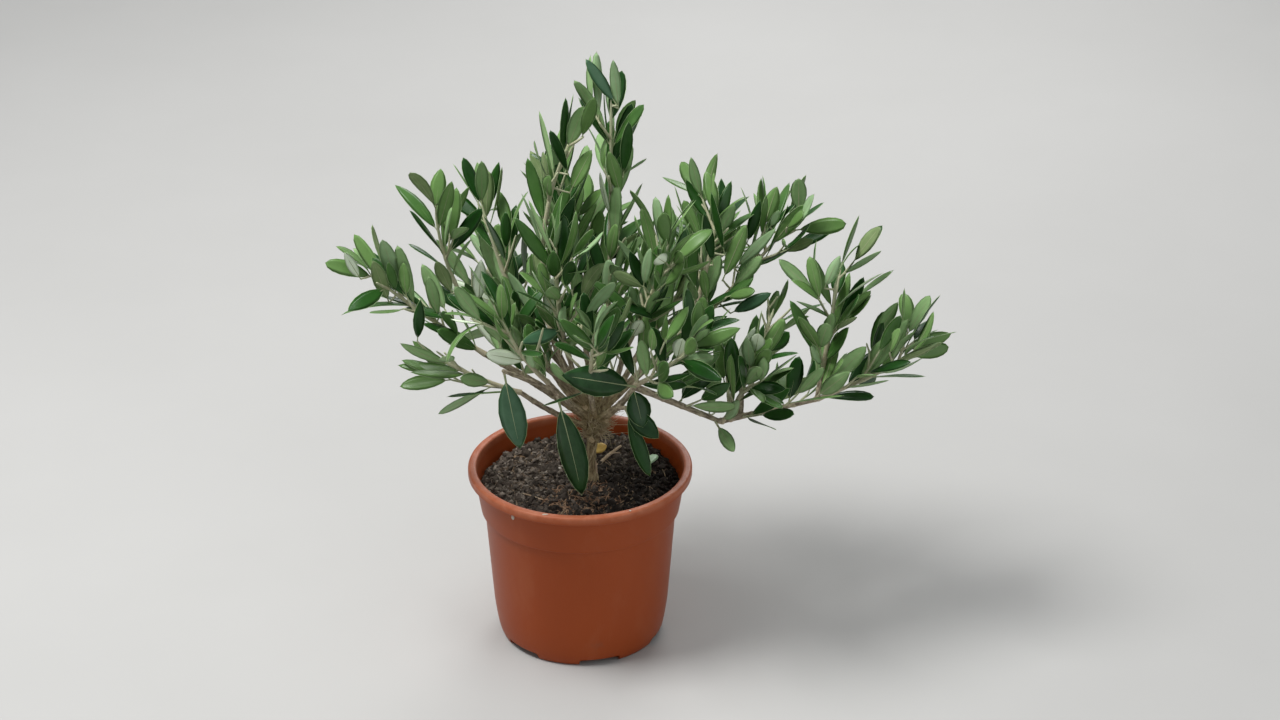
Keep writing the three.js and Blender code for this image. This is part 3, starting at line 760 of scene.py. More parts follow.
def carve_bark(made):
    """Furrows along the limbs and rings round them, carved in the mesh and kept as an attribute."""
    bm = bmesh.new()
    bm.from_mesh(made.data)
    every_way = {"use_axis_x": True, "use_axis_y": True, "use_axis_z": True}
    for _ in range(BARK_SMOOTHING):
        bmesh.ops.smooth_vert(bm, verts=bm.verts, factor=0.5, **every_way)
    bm.normal_update()
    points = np.array([vert.co for vert in bm.verts])
    head = Vector(TRUNK_HEAD)
    found, run, off = along_limbs(points)
    grain = bm.verts.layers.float.new("grain")
    tan = bm.verts.layers.float.new("tan")
    for vert, limb, along, away in zip(bm.verts, found, run, off):
        local = Vector((*(away[:2] + away[2] * FURROW_SLANT), 0)) * FURROWS_ROUND
        local += Vector((0, 0, along * FURROWS_ALONG + limb * FURROW_SHIFT))
        furrow = noise.fractal(local, *FURROW_OCTAVES)
        depth, ring = FURROW, 0.0
        if limb:
            past_ring = (along % RING_SPACING) / RING_SPACING - 0.5
            depth, ring = BOUGH_FURROW, math.exp(-((past_ring * RING_SHARPNESS) ** 2))
        vert.co += vert.normal * (depth * furrow + LEAF_RING * ring)
        vert[grain] = furrow + RING_PALE * ring
        past = max(0, (vert.co - head).length - TAN_REACH) / TAN_FADE if vert.co.z > head.z else 0
        vert[tan] = 1 - min(1, past)
    bm.to_mesh(made.data)
    bm.free()


# dark, middle and pale bark
HEAD_TONES = ((0.185, 0.137, 0.074), (0.42, 0.335, 0.185), (0.62, 0.51, 0.32))
BOUGH_TONES = ((0.165, 0.130, 0.090), (0.37, 0.305, 0.215), (0.56, 0.485, 0.365))
BARK_GREEN = (0.33, 0.32, 0.17)


def ridged(tree, ridge, tones):
    """The colour of one kind of bark: dark in the furrows, pale and in greenish patches on the ridges."""
    dark, middle, pale = tones
    patch = mottled(tree, 160, middle, BARK_GREEN, 0.48, 0.78)
    crest = mottled(tree, 420, patch.outputs["Color"], pale, 0.4, 0.75)
    return blended(tree, ridge, dark, crest.outputs["Color"])


def bark_material():
    """Young bark: tan on the trunk and its head, greyer out along the boughs."""
    made, tree, shader = new_material("bark", 0.85, 0.3)
    grain = add(tree, "ShaderNodeAttribute", attribute_name="grain").outputs["Fac"]
    tan = add(tree, "ShaderNodeAttribute", attribute_name="tan").outputs["Fac"]
    ridge = ranged(tree, grain, -0.5, 0.6)
    tone = blended(tree, tan, ridged(tree, ridge, BOUGH_TONES), ridged(tree, ridge, HEAD_TONES))
    surfaced(tree, shader, tone, 2600, 0.00012)
    return made


CUT_DEPTH = 0.0012
CUT_FACING = 0.55


def mark_cuts(made):
    """Gives the ends of the pruned stubs the second material."""
    count = len(made.data.polygons)
    centres, normals = np.empty(3 * count), np.empty(3 * count)
    made.data.polygons.foreach_get("center", centres)
    made.data.polygons.foreach_get("normal", normals)
    centres, normals = centres.reshape(-1, 3), normals.reshape(-1, 3)
    cut = np.zeros(count, np.int32)
    for foot, way, length, thick in stub_places():
        beyond = (centres - foot) @ way
        aside = np.linalg.norm(centres - foot - np.outer(beyond, way), axis=1)
        at_end = (np.abs(beyond - length) < CUT_DEPTH) & (aside < thick + STUB_SPREAD)
        cut |= at_end & (normals @ way > CUT_FACING)
    made.data.polygons.foreach_set("material_index", cut)


CUT_WOOD = (0.62, 0.49, 0.31)
CUT_WOOD_DARK = (0.40, 0.29, 0.17)


def cut_material():
    """Pale weathered wood where a branch was cut."""
    made, tree, shader = new_material("cut_wood", 0.8, 0.3)
    tone = mottled(tree, 900, CUT_WOOD_DARK, CUT_WOOD, 0.3, 0.6)
    tree.links.new(tone.outputs["Color"], shader.inputs["Base Color"])
    bumped(tree, shader, tone.outputs["Mask"], 0.0002)
    return made


SHREDS = 560
SHRED_SEED = 6
SHRED_RINGS = 4
SHRED_RADIUS = 0.00024
SHRED_SHORTEST = 0.003
SHRED_GROWTH = 0.0085
SHRED_SEAT = 0.0042
SHRED_LEAN = (0.25, -0.1, 0.85)
SHREDS_FROM = 0.66
SHREDS_REACH = 0.34
SHRED_SCATTER = 0.35
SHRED_CURL = 0.5


def shreds():
    """Shreds of torn bark and old fibre that bristle on the trunk's head between the boughs."""
    random = np.random.default_rng(SHRED_SEED)
    out = unit(random.normal(size=(SHREDS, 3)) * (1, 1, 0.25))
    foot = spot(limbs["trunk"], SHREDS_FROM + SHREDS_REACH * random.random(SHREDS)) + SHRED_SEAT * out
    way = unit(out + SHRED_LEAN + SHRED_SCATTER * random.normal(size=(SHREDS, 3)))
    curl = SHRED_CURL * random.normal(size=(SHREDS, 3))
    share = np.linspace(0, 1, SHRED_RINGS + 1)[None, :, None]
    length = SHRED_SHORTEST + SHRED_GROWTH * random.random((SHREDS, 1, 1)) ** 1.5
    lines = foot[:, None] + length * share * (way[:, None] + share * curl[:, None])
    radii = SHRED_RADIUS * (0.7 + 0.9 * random.random((SHREDS, 1))) * (1.1 - 0.8 * share[..., 0])
    return rods("bark_shreds", 3, lines, radii)


bark = raw_bark()
carve_bark(bark)
mark_cuts(bark)
dress(bark, [bark_material(), cut_material()], crease=180)
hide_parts("trunk", *["bough_" + name for name in NAMES])
bristles = shreds()
shred_tan = plain_material("bark_shreds", (0.36, 0.28, 0.16), (0.72, 0.61, 0.42), 500)
dress(bristles, [shred_tan], crease=80)

# The shoots: this year's and last year's growth, grey-green and downy, thin enough to see between.
# Side shoots fork from each stem by turns to either side, and finer ones carry small leaves near the boughs.
SPRAY_THICK = 0.0015
SPRAY_THIN = 0.0008
STEM_BARE = 0.06
SHOOT_THICK = 0.0009
SHOOT_THIN = 0.0006
SHOOT_BARE = 0.28
SHOOT_REACH = 0.026
SHOOT_SWING = 2.2
SHOOT_ANGLE = 50
SHOOT_PULL = 0.42
SHOOT_SAG = 0.05
TWIG_THICK = 0.0007
TWIG_THIN = 0.0005
TWIG_BARE = 0.35
TWIG_REACH = 0.015
TWIG_SPACING = 0.016
TWIG_SWING = 2.4
SIDE_TWIGS = (0.2, 0.8)
SIDE_TWIG_REACH = 0.012
SPROUTS = (0.2, 0.97)
SPROUT_SPACING = 0.0085
TWIG_SCALE = 0.9
HANGING_STALK = 0.06
POT_ROOM = 0.005
LIMB_ROOM = 0.0008
SPRAY_GAP = 0.0006
LEAF_ROOM = 0.0030
TWIG_ROOM = 0.0014
HEAD_ROOM = 0.050
HEAD_CLIMB = 0.022
SPROUT_DROOP = 0.003
SINGLE_ROOM = 0.0046
SINGLE_DEPTH = 0.055
AXIS_STEPS = 8
TWIG_SEEDS = 101
SPROUT_SEEDS = 201
UP = np.array((0.0, 0.0, 1.0))


def seeded(seed):
    """A repeatable run of numbers between 0 and 1."""
    state = seed * 7919 + 104729
    while True:
        state = state * 16807 % 2147483647
        yield state / 2147483647


def mix(low, high, share):
    """The value at a share between two."""
    return low + (high - low) * share


def leaving(tangent, turn, angle, pull):
    """The direction that leaves a shoot at an angle, turned round it, and drawn up to the light."""
    reference = np.array((1.0, 0.0, 0.0)) if abs(tangent[2]) > 0.8 else UP
    side = unit(np.cross(tangent, reference))
    climb = np.cross(side, tangent)
    outward = side * math.cos(turn) + climb * math.sin(turn)
    return unit(tangent * math.cos(angle) + outward * math.sin(angle) + UP * pull)


def axis_of(bend):
    """A bend's axis as points, to measure how near things come to it."""
    return spot(bend, np.linspace(0, 1, AXIS_STEPS + 1))


def distances(points, axes):
    """From each point to each axis, the distance to its nearest straight piece."""
    start, edge = axes[:, :-1], np.diff(axes, axis=1)
    away = points[:, None, None] - start
    part = np.clip((away * edge).sum(-1) / (edge * edge).sum(-1), 0, 1)
    return np.linalg.norm(away - part[..., None] * edge, axis=-1).min(-1)


LIMB_AXES = np.array([axis_of(bend) for bend in limbs.values()])
STEM_AXES = np.array([axis_of(bend) for bend in stems])


def clear_of_wood(points):
    """Whether every point keeps clear of the limbs, the pot and the soil."""
    from_axis, height = np.hypot(points[:, 0], points[:, 1]), points[:, 2]
    by_wall = (height < POT_HEIGHT) & (from_axis > COLLAR_FOOT_RADIUS - POT_ROOM)
    if (by_wall | (height < SOIL_LEVEL + POT_ROOM)).any():
        return False
    return (distances(points, LIMB_AXES) - limb_radii >= LIMB_ROOM).all()


def in_space(points, own):
    """Whether every point is clear of the wood, and nearer to its spray's own stem than to any other."""
    if not clear_of_wood(points):
        return False
    if own is None:
        by_head = np.linalg.norm(points - TRUNK_HEAD, axis=1) < HEAD_ROOM
        return not (by_head & (points[:, 2] < TRUNK_HEAD[2] + HEAD_CLIMB)).any()
    away = distances(points, STEM_AXES)
    others = np.delete(away, own, axis=1)
    return (others > away[:, own : own + 1] + SPRAY_GAP).all()


def curving_up(start, tip):
    """A shoot's bend, which sags a little before it turns up to the light."""
    return start, (start + tip) / 2 - SHOOT_SAG * np.linalg.norm(tip - start) * UP, tip


# A shoot is its bend, the bare share of it, its thickness at foot and tip, and how young its bark is.
def shoots_of(own, forks, random):
    """The shoots of one spray: its stem, and the side shoots that fork from it by turns to either side."""
    stem = stems[own]
    if not forks:
        return [(straight(stem[0], spot(stem, 1.1 * HANGING_STALK)), 0, SHOOT_THICK, SHOOT_THIN, 0)]
    grown = [(stem, STEM_BARE, SPRAY_THICK, SPRAY_THIN, 0)]
    for i in range(forks):
        along = mix(0.1, 0.9, (i + 0.2 + 0.6 * next(random)) / forks)
        turn = (i % 2) * math.pi + (next(random) - 0.5) * SHOOT_SWING
        length = SHOOT_REACH * (1.1 - 0.5 * along) * (0.75 + 0.5 * next(random))
        start = spot(stem, along)
        way = leaving(heading(stem, along), turn, math.radians(SHOOT_ANGLE), SHOOT_PULL)
        side = curving_up(start, start + length * way)
        if in_space(spot(side, np.linspace(0.25, 1, 4)), own):
            grown.append((side, SHOOT_BARE, SHOOT_THICK, SHOOT_THIN, 0.3))
    return grown


def twigs_of(bend, first, last, spacing, reach, own, random):
    """Finer twigs along a limb or shoot, by turns to either side, between two shares of its length."""
    count = math.floor(length_of(bend) * (last - first) / spacing + 0.5)
    grown = []
    for i in range(count):
        along = mix(first, last, (i + next(random)) / count)
        turn = i * math.pi + (next(random) - 0.5) * TWIG_SWING
        start = spot(bend, along)
        way = leaving(heading(bend, along), turn, math.radians(SHOOT_ANGLE), SHOOT_PULL)
        side = curving_up(start, start + reach * (0.7 + 0.6 * next(random)) * way)
        line = spot(side, np.linspace(0.4, 1, 4))
        if in_space(line, own) and not hides_single(line):
            grown.append((side, TWIG_BARE, TWIG_THICK, TWIG_THIN, 0.6))
    return grown


LEAF_LENGTH = 0.037
LEAF_WIDTH = 0.0083
LENGTH_FROM, LENGTH_SPREAD = 0.76, 0.42
WIDTH_FROM, WIDTH_SPREAD = 0.85, 0.3
LEAST_LEAF = 0.013
LEAF_PULL = 0.25
LEAF_WIDEST = 0.56
PAIR_SPACING = 0.0145
PAIR_STEP = 0.0013
PAIR_ANGLE = 37
PAIR_SWING = 0.7
TIP_ANGLE = 20
ANGLE_SPREAD = 16
TIP_ROOM = 0.0006
TIP_SIZE = 0.80


def leaves_of(bend, bare, scale, random):
    """The leaves of one shoot: crossed pairs, a little apart along it, and a pair that ends it."""
    length = length_of(bend)
    pairs = max(1, math.floor(length * (1 - bare) / PAIR_SPACING + 0.5))
    twist = next(random) * math.pi
    for i in range(2 * (pairs + 1)):
        pair, second = divmod(i, 2)
        last = pair == pairs
        along = mix(bare, 1, pair / pairs) - (second * PAIR_STEP + last * TIP_ROOM) / length
        tangent = heading(bend, along)
        turn = twist + (pair / 2 + second) * math.pi + (next(random) - 0.5) * PAIR_SWING
        angle = (TIP_ANGLE if last else PAIR_ANGLE) + ANGLE_SPREAD * (next(random) - 0.5)
        way = leaving(tangent, turn, math.radians(angle), 0 if last else LEAF_PULL)
        size = scale * (TIP_SIZE if last else 1) * (LENGTH_FROM + LENGTH_SPREAD * next(random))
        width = LEAF_WIDTH * (WIDTH_FROM + WIDTH_SPREAD * next(random)) * math.sqrt(scale)
        yield {
            "seat": spot(bend, along),
            "way": way,
            "face": tangent + 0.5 * UP - 0.2 * way,
            "length": LEAF_LENGTH * size,
            "width": width,
            "young": along * (0.3 + 0.7 * last),
            "curl": 1,
        }


TOWARDS_VIEW = np.array((0, -0.85, 0.5))
# width and tone
HANGING_LEAVES = {"hang_left": (0.0160, 5), "hang_centre": (0.0172, 4), "hang_right": (0.0088, 0)}


def hanging_leaf(own):
    """The one leaf of a shoot that hangs, from its short stalk to the shoot's tip, with its face outward."""
    stem = stems[own]
    seat = spot(stem, HANGING_STALK)
    width, tone = HANGING_LEAVES[NAMES[own]]
    return {
        "seat": seat,
        "way": heading(stem, 1),
        "face": unit((seat - TRUNK_HEAD) * (1, 1, 0)) + TOWARDS_VIEW,
        "length": np.linalg.norm(stem[2] - seat),
        "width": width,
        "young": 0,
        "curl": 0.25,
        "tones": (tone, 2),
    }


SINGLE_LEAVES = (
    # branch, place along its bough (to 1) and stem (to 2), foot, tip, side shown, turn, width, tone
    ("front_right", 0.95, (0.0310, -0.0363, 0.1764), (-0.0100, -0.0460, 0.1891), "upper", 0, 0.0178, 4),
    ("front_right", 0.92, None, (0.0362, -0.0360, 0.1505), "upper", 0, 0.0150, 4),
    ("hang_right", 0.95, None, (0.0446, -0.0340, 0.1425), "upper", 0, 0.0118, 4),
    ("centre_left", 1.28, None, (-0.0324, -0.0280, 0.2003), "upper", 0, 0.0088, 5),
    ("front_left", 1.42, None, (-0.0518, -0.0460, 0.2028), "under", 0, 0.0090, 3),
    ("front_right", 1.20, None, (0.0345, -0.0320, 0.2035), "under", 0, 0.0078, 0),
    ("centre_right", 1.17, None, (0.0341, -0.0320, 0.2140), "under", 0.3, 0.0080, 3),
    ("front_right", 1.72, None, (0.0578, -0.0500, 0.2140), "under", 0.1, 0.0100, 3),
    ("leader_right", 1.975, (0.0224, 0.0299, 0.3197), (0.0054, 0.0329, 0.3463), "upper", 0.2, 0.0075, 5),
    ("leader_right", 1.985, (0.0233, 0.0309, 0.3172), (0.0206, 0.0319, 0.3458), "under", -0.5, 0.0066, 1),
    ("leader_right", 1.650, (0.0258, 0.0279, 0.2768), (0.0282, 0.0249, 0.3131), "upper", 0.2, 0.0075, 1),
    ("leader_right", 1.550, (0.0246, 0.0269, 0.2649), (0.0176, 0.0219, 0.2954), "under", -0.1, 0.008, 2),
    ("leader_left", 1.650, (-0.0044, 0.0205, 0.2706), (0.0073, 0.0175, 0.2976), "under", 0.2, 0.0094, 2),
    ("leader_left", 1.825, (-0.0056, 0.0192, 0.2976), (0.0038, 0.0162, 0.3258), "under", 0.1, 0.0094, 0),
    ("leader_left", 1.725, (-0.0051, 0.0192, 0.2824), (-0.0150, 0.0142, 0.3111), "upper", -0.3, 0.0066, 0),
    ("left", 2.000, (-0.1207, -0.0290, 0.2414), (-0.1293, -0.0370, 0.2616), "under", -0.2, 0.0066, 3),
    ("left", 1.775, (-0.1058, -0.0224, 0.2235), (-0.1144, -0.0254, 0.2522), "under", -0.1, 0.0085, 4),
    ("left", 1.425, (-0.0787, -0.0182, 0.2114), (-0.0834, -0.0222, 0.2402), "under", 0.1, 0.0075, 0),
    ("left_rise", 1.425, (-0.0718, 0.0092, 0.2135), (-0.0797, 0.0062, 0.2364), "under", 0.1, 0.0085, 4),
    ("left_low", 1.950, (-0.0904, -0.0285, 0.2023), (-0.0878, -0.0315, 0.2284), "upper", 0.1, 0.0066, 0),
    ("left", 1.800, (-0.1018, -0.0227, 0.2307), (-0.1053, -0.0257, 0.2496), "upper", 0.1, 0.0056, 2),
    ("left_rise", 1.275, (-0.0570, 0.0082, 0.2083), (-0.0545, 0.0042, 0.2351), "under", 0, 0.0085, 3),
    ("right_high", 2.000, (0.1265, 0.0410, 0.2466), (0.1257, 0.0380, 0.2719), "under", 0.1, 0.0094, 0),
    ("right_high", 1.275, (0.0827, 0.0269, 0.2123), (0.0959, 0.0219, 0.2499), "under", 0.1, 0.0094, 2),
    ("right_high", 1.425, (0.0896, 0.0304, 0.2178), (0.1132, 0.0264, 0.2452), "under", -0.1, 0.0066, 1),
    ("right_high", 1.650, (0.0966, 0.0353, 0.2312), (0.1041, 0.0323, 0.2584), "upper", 0.2, 0.0066, 0),
    ("right_fan", 1.450, (0.0770, 0.0248, 0.2229), (0.0714, 0.0218, 0.2567), "upper", 0.2, 0.0066, 0),
    ("right_fan", 1.600, (0.0837, 0.0253, 0.2288), (0.0743, 0.0213, 0.2692), "upper", -0.4, 0.0056, 1),
    ("right_rise", 1.925, (0.1387, -0.0042, 0.2213), (0.1458, -0.0072, 0.2423), "under", 0.2, 0.0066, 1),
    ("right_high", 1.125, (0.0873, 0.0242, 0.1923), (0.1095, 0.0192, 0.2068), "upper", 0, 0.0075, 5),
    ("right_fan", 1.050, (0.0738, 0.0206, 0.2018), (0.0710, 0.0176, 0.2233), "under", 0.1, 0.0061, 2),
    ("right_high", 1.875, (0.1102, 0.0390, 0.2396), (0.1149, 0.0380, 0.2509), "under", 0.1, 0.0047, 1),
    ("left_upright", 1.600, (-0.0415, 0.0372, 0.2266), (-0.0411, 0.0342, 0.2530), "upper", 0.1, 0.0066, 1),
)


def on_branch(branch, along):
    """A point on a branch: along its bough up to 1, and from there along its stem."""
    return spot(limbs[branch], along) if along <= 1 else spot(stems[NAMES.index(branch)], along - 1)


def single_leaf(branch, along, foot, tip, side, turn, width, tone):
    """A large leaf that stands out by itself, from its foot to its tip, with one side turned to the front."""
    seat = on_branch(branch, along) if foot is None else np.array(foot)
    reach = np.array(tip) - seat
    face = (turn, 0, 0) + TOWARDS_VIEW * (1 if side == "upper" else -1)
    tones = (tone, 0) if side == "upper" else (1, tone)
    leaf = {"seat": seat, "way": unit(reach), "face": face, "length": np.linalg.norm(reach)}
    return {**leaf, "width": width, "young": 0, "curl": 0.4, "tones": tones}


def spur(branch, along, foot):
    """The short twig that carries a single leaf which stands off its branch."""
    return curving_up(on_branch(branch, along), np.array(foot)), TWIG_BARE, TWIG_THICK, TWIG_THIN, 0.6


def midrib(leaf):
    """Points along a leaf's midrib, from where it has left its own twig to its tip."""
    return leaf["seat"] + np.outer((0.35, 0.6, 0.8, 1), leaf["way"] * leaf["length"])


def outline(leaf):
    """A leaf's two shoulders and its tip."""
    across = unit(np.cross(leaf["way"], leaf["face"])) * leaf["width"] / 2
    middle = leaf["seat"] + leaf["way"] * leaf["length"] * LEAF_WIDEST
    return np.array((middle - across, middle + across, leaf["seat"] + leaf["way"] * leaf["length"]))


def hides_single(line):
    """Whether a line passes in front of a single leaf, as the photograph sees the plant."""
    front = unit(TOWARDS_VIEW)
    away = line[:, None] - SINGLE_POINTS
    ahead = away @ front
    aside = np.linalg.norm(away - ahead[..., None] * front, axis=-1)
    return ((ahead > 0) & (ahead < SINGLE_DEPTH) & (aside < SINGLE_ROOMS)).any()


def add_leaves(new, near, kept, scale, own, random):
    """Grows leaves on new shoots, and keeps those that stay clear of kept leaves and of shoots near them."""
    lines = [midrib(leaf) for leaf in kept]
    axes = np.array([axis_of(bend) for bend, *_ in near])
    for shoot in new:
        others = np.array([axis for axis, other in zip(axes, near) if other is not shoot])
        for leaf in leaves_of(*shoot[:2], scale, random):
            line = midrib(leaf)
            droops = own is None and leaf["way"][2] * leaf["length"] < -SPROUT_DROOP
            if droops or leaf["length"] < LEAST_LEAF * min(1, scale) or not in_space(outline(leaf), own):
                continue
            if hides_single(line) or (len(others) and (distances(line, others) <= TWIG_ROOM).any()):
                continue
            if lines and (np.linalg.norm(line[:, None] - np.concatenate(lines), axis=2) <= LEAF_ROOM).any():
                continue
            kept.append(leaf)
            lines.append(line)


singles = [single_leaf(*row) for row in SINGLE_LEAVES]
SINGLE_POINTS = np.concatenate([midrib(leaf) for leaf in singles])
single_widths = [max(SINGLE_ROOM, leaf["width"] / 2) for leaf in singles]
SINGLE_ROOMS = np.repeat(single_widths, len(midrib(singles[0])))
spurs = [spur(branch, along, foot) for branch, along, foot, *_ in SINGLE_LEAVES if foot]
shoots = list(spurs)
leaves = list(singles)
for own, (*_, forks, twiggy) in enumerate(BRANCHES):
    random = seeded(own + 1)
    grown = shoots_of(own, forks, random)
    kept = list(singles)
    if forks:
        add_leaves(grown, grown + spurs, kept, 1, own, random)
        finer = seeded(own + TWIG_SEEDS)
        twigs = twigs_of(stems[own], 0, twiggy, TWIG_SPACING, TWIG_REACH, own, finer)
        for bend, *_ in grown[1:]:
            twigs += twigs_of(bend, *SIDE_TWIGS, TWIG_SPACING, SIDE_TWIG_REACH, own, finer)
        add_leaves(twigs, grown + twigs + spurs, kept, TWIG_SCALE, own, finer)
        grown += twigs
    else:
        kept.append(hanging_leaf(own))
    shoots += grown
    leaves += kept[len(singles):]
for own, (name, *_, forks, _) in enumerate(BRANCHES):
    if forks:
        finer = seeded(own + SPROUT_SEEDS)
        twigs = twigs_of(limbs[name], *SPROUTS, SPROUT_SPACING, TWIG_REACH, None, finer)
        add_leaves(twigs, shoots + twigs, leaves, 1, None, finer)
        shoots += twigs

SHOOT_RINGS = 14
SHOOT_NODES = 6
NODE_SWELL = 0.22
BUD = 0.45


def shoot_rods():
    """Every shoot as a thin rod that tapers, swells a little at each pair of leaves and ends in a bud."""
    share = np.linspace(0, 1, SHOOT_RINGS + 1)
    lines = np.array([spot(bend, share) for bend, *_ in shoots])
    ends = np.array([(thick, thin) for _, _, thick, thin, _ in shoots])
    radii = ends[:, :1] + (ends[:, 1:] - ends[:, :1]) * share
    radii *= 1 + NODE_SWELL * np.maximum(0, np.cos(2 * np.pi * SHOOT_NODES * share)) ** 6
    radii[:, -1] *= BUD
    shape = rod(6, SHOOT_RINGS)
    made = joined("shoots", swept(shape, lines, radii), shape[1])
    age = np.concatenate([(1 - shape[0][:, 2]) * (1 - youth) for *_, youth in shoots])
    made.data.attributes.new("age", "FLOAT", "POINT").data.foreach_set("value", age)
    return made


SHOOT_OLD = (0.42, 0.35, 0.23)
SHOOT_YOUNG = (0.45, 0.48, 0.29)
SHOOT_DOWN = (0.54, 0.53, 0.41)


def shoot_material():
    """Green-grey young bark with a pale down, browner towards its foot."""
    made, tree, shader = new_material("shoot_bark", 0.7, 0.4)
    age = add(tree, "ShaderNodeAttribute", attribute_name="age").outputs["Fac"]
    down = mottled(tree, 700, blended(tree, age, SHOOT_YOUNG, SHOOT_OLD), SHOOT_DOWN, 0.45, 0.85)
    surfaced(tree, shader, down.outputs["Color"], 1800, 0.0001)
    return made


twigs = shoot_rods()
dress(twigs, [shoot_material()], crease=80)
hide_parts(*["spray_" + name for name in NAMES])

# The leaves: leathery blades in opposite pairs, dark and glossy above, silvery with fine scales below.
# Each has a short pale stalk that runs on as its midrib, a rounded end, and edges that roll down.
BLADE_ACROSS = 4
BLADE_ROWS = (0, 0.10, 0.26, 0.45, 0.64, 0.81, 0.93, 1)
BLADE_THICK = 0.00036
STALK = 0.08
RIB_RINGS = 6
LEAF_TURN = 0.46
LEAF_ARCH = (0.05, 0.32)
LEAF_KEEL = (0.05, 0.34)
LEAF_ROLL = (0.05, 0.26)
LEAF_TWIST = (0, 0.32)
LEAF_FULLNESS = (0.52, 0.92)
FLATTER_FULLNESS = 0.1
BASE_TAPER = 0.85
RIB_FOOT = 0.00044
RIB_TIP = 0.00016
RIB_DROP = 0.00006
MARGIN_RADIUS = 0.00013


def blade_template():
    """The blade as a flat pillow: across from -1 to 1, along from 0 to 1, and on its upper or under side."""
    bm = bmesh.new()
    bmesh.ops.create_grid(bm, x_segments=BLADE_ACROSS, y_segments=len(BLADE_ROWS) - 1, size=1)
    under = bmesh.ops.duplicate(bm, geom=bm.verts[:] + bm.edges[:] + bm.faces[:])["geom"]
    low_faces = [part for part in under if isinstance(part, bmesh.types.BMFace)]
    low = {part for part in under if isinstance(part, bmesh.types.BMVert)}
    bmesh.ops.reverse_faces(bm, faces=low_faces)
    for face in low_faces:
        face.material_index = 1
    for vert in bm.verts:
        row = round((vert.co.y + 1) / 2 * (len(BLADE_ROWS) - 1))
        ends = row in (0, len(BLADE_ROWS) - 1)
        inside = abs(vert.co.x) < 0.99 and not ends
        vert.co = (0 if ends else vert.co.x, BLADE_ROWS[row], inside * (-1 if vert in low else 1))
    bmesh.ops.remove_doubles(bm, verts=bm.verts, dist=1e-5)
    bmesh.ops.triangulate(bm, faces=bm.faces)
    marks = np.array([face.material_index for face in bm.faces])
    corners, faces = template(bm)
    return corners, faces, marks


def blade_width(share, fullness):
    """The half width at a share of the blade: a tapered base, and a broad rounded end."""
    peak = BASE_TAPER / (BASE_TAPER + fullness)
    return share**BASE_TAPER * (1 - share) ** fullness / (peak**BASE_TAPER * (1 - peak) ** fullness)


def leaf_arrays(kept, seed):
    """The leaves' sizes, frames and bends, as arrays with one row for each."""
    random = np.random.default_rng(seed)
    count = len(kept)
    curl = np.array([leaf["curl"] for leaf in kept])
    way = unit(np.array([leaf["way"] for leaf in kept]))
    face = unit(np.array([leaf["face"] for leaf in kept]))
    across = unit(np.cross(way, face + LEAF_TURN * curl[:, None] * random.normal(size=(count, 3))))
    return {
        "seat": np.array([leaf["seat"] for leaf in kept]),
        "way": way,
        "across": across,
        "upper": np.cross(across, way),
        "length": np.array([leaf["length"] for leaf in kept]),
        "half": np.array([leaf["width"] for leaf in kept]) / 2,
        "arch": random.normal(*LEAF_ARCH, count) * curl,
        "keel": random.uniform(*LEAF_KEEL, count),
        "roll": random.uniform(*LEAF_ROLL, count),
        "twist": random.normal(*LEAF_TWIST, count) * curl,
        "fullness": random.uniform(*LEAF_FULLNESS, count) + FLATTER_FULLNESS * (curl < 0.5),
    }


def bend_leaf(grown, across, along, lift):
    """Places on each leaf: across and lift in metres from its middle line, along as a share of its length."""
    turn = grown["twist"][:, None] * along
    side = across * np.cos(turn) - lift * np.sin(turn)
    rise = across * np.sin(turn) + lift * np.cos(turn)
    arch = grown["arch"][:, None]
    length = grown["length"][:, None]
    ahead = length * (along - arch**2 * along**3 / 6)
    sag = -length * arch * along**2 / 2
    return (
        grown["seat"][:, None]
        + grown["way"][:, None] * ahead[..., None]
        + grown["across"][:, None] * side[..., None]
        + grown["upper"][:, None] * (rise + sag)[..., None]
    )


def blades(grown):
    """Every leaf's blade, as copies of the template."""
    corners, faces, marks = blade_template()
    across, share, side = corners[None, :, 0], corners[None, :, 1], corners[None, :, 2]
    along = STALK + (1 - STALK) * share
    half = grown["half"][:, None] * blade_width(share, grown["fullness"][:, None])
    lift = half * (grown["keel"][:, None] * np.abs(across) - grown["roll"][:, None] * across**4)
    lift = lift + side * BLADE_THICK / 2
    return bend_leaf(grown, half * across, np.broadcast_to(along, half.shape), lift), faces, marks


def ribs(grown):
    """Every leaf's stalk and midrib, as a fine rod that shows as a line above and stands out below."""
    share = np.linspace(-0.02, 1.012, RIB_RINGS + 1)
    along = np.broadcast_to(share, (len(grown["half"]), len(share)))
    drop = np.full(along.shape, -RIB_DROP)
    lines = bend_leaf(grown, 0 * along, along, drop)
    radii = np.interp(along, (0, 0.12, 0.9, 1.01), (RIB_FOOT, 0.7 * RIB_FOOT, RIB_TIP, RIB_TIP / 3))
    radii = radii * (2 * grown["half"][:, None] / LEAF_WIDTH) ** 0.8
    return rods("leaf_ribs", 4, lines, radii)


def margins(grown):
    """Every leaf's rolled edge, as a fine rod along either side that catches the light as a pale line."""
    share = np.array(BLADE_ROWS)
    along = np.broadcast_to(STALK + (1 - STALK) * share, (len(grown["half"]), len(share)))
    half = grown["half"][:, None] * blade_width(share, grown["fullness"][:, None])
    lift = half * (grown["keel"] - grown["roll"])[:, None]
    lines = np.concatenate([bend_leaf(grown, side * half, along, lift) for side in (-1, 1)])
    radii = np.full(lines.shape[:2], MARGIN_RADIUS)
    radii[:, (0, -1)] = MARGIN_RADIUS / 3
    return rods("leaf_margins", 3, lines, radii)


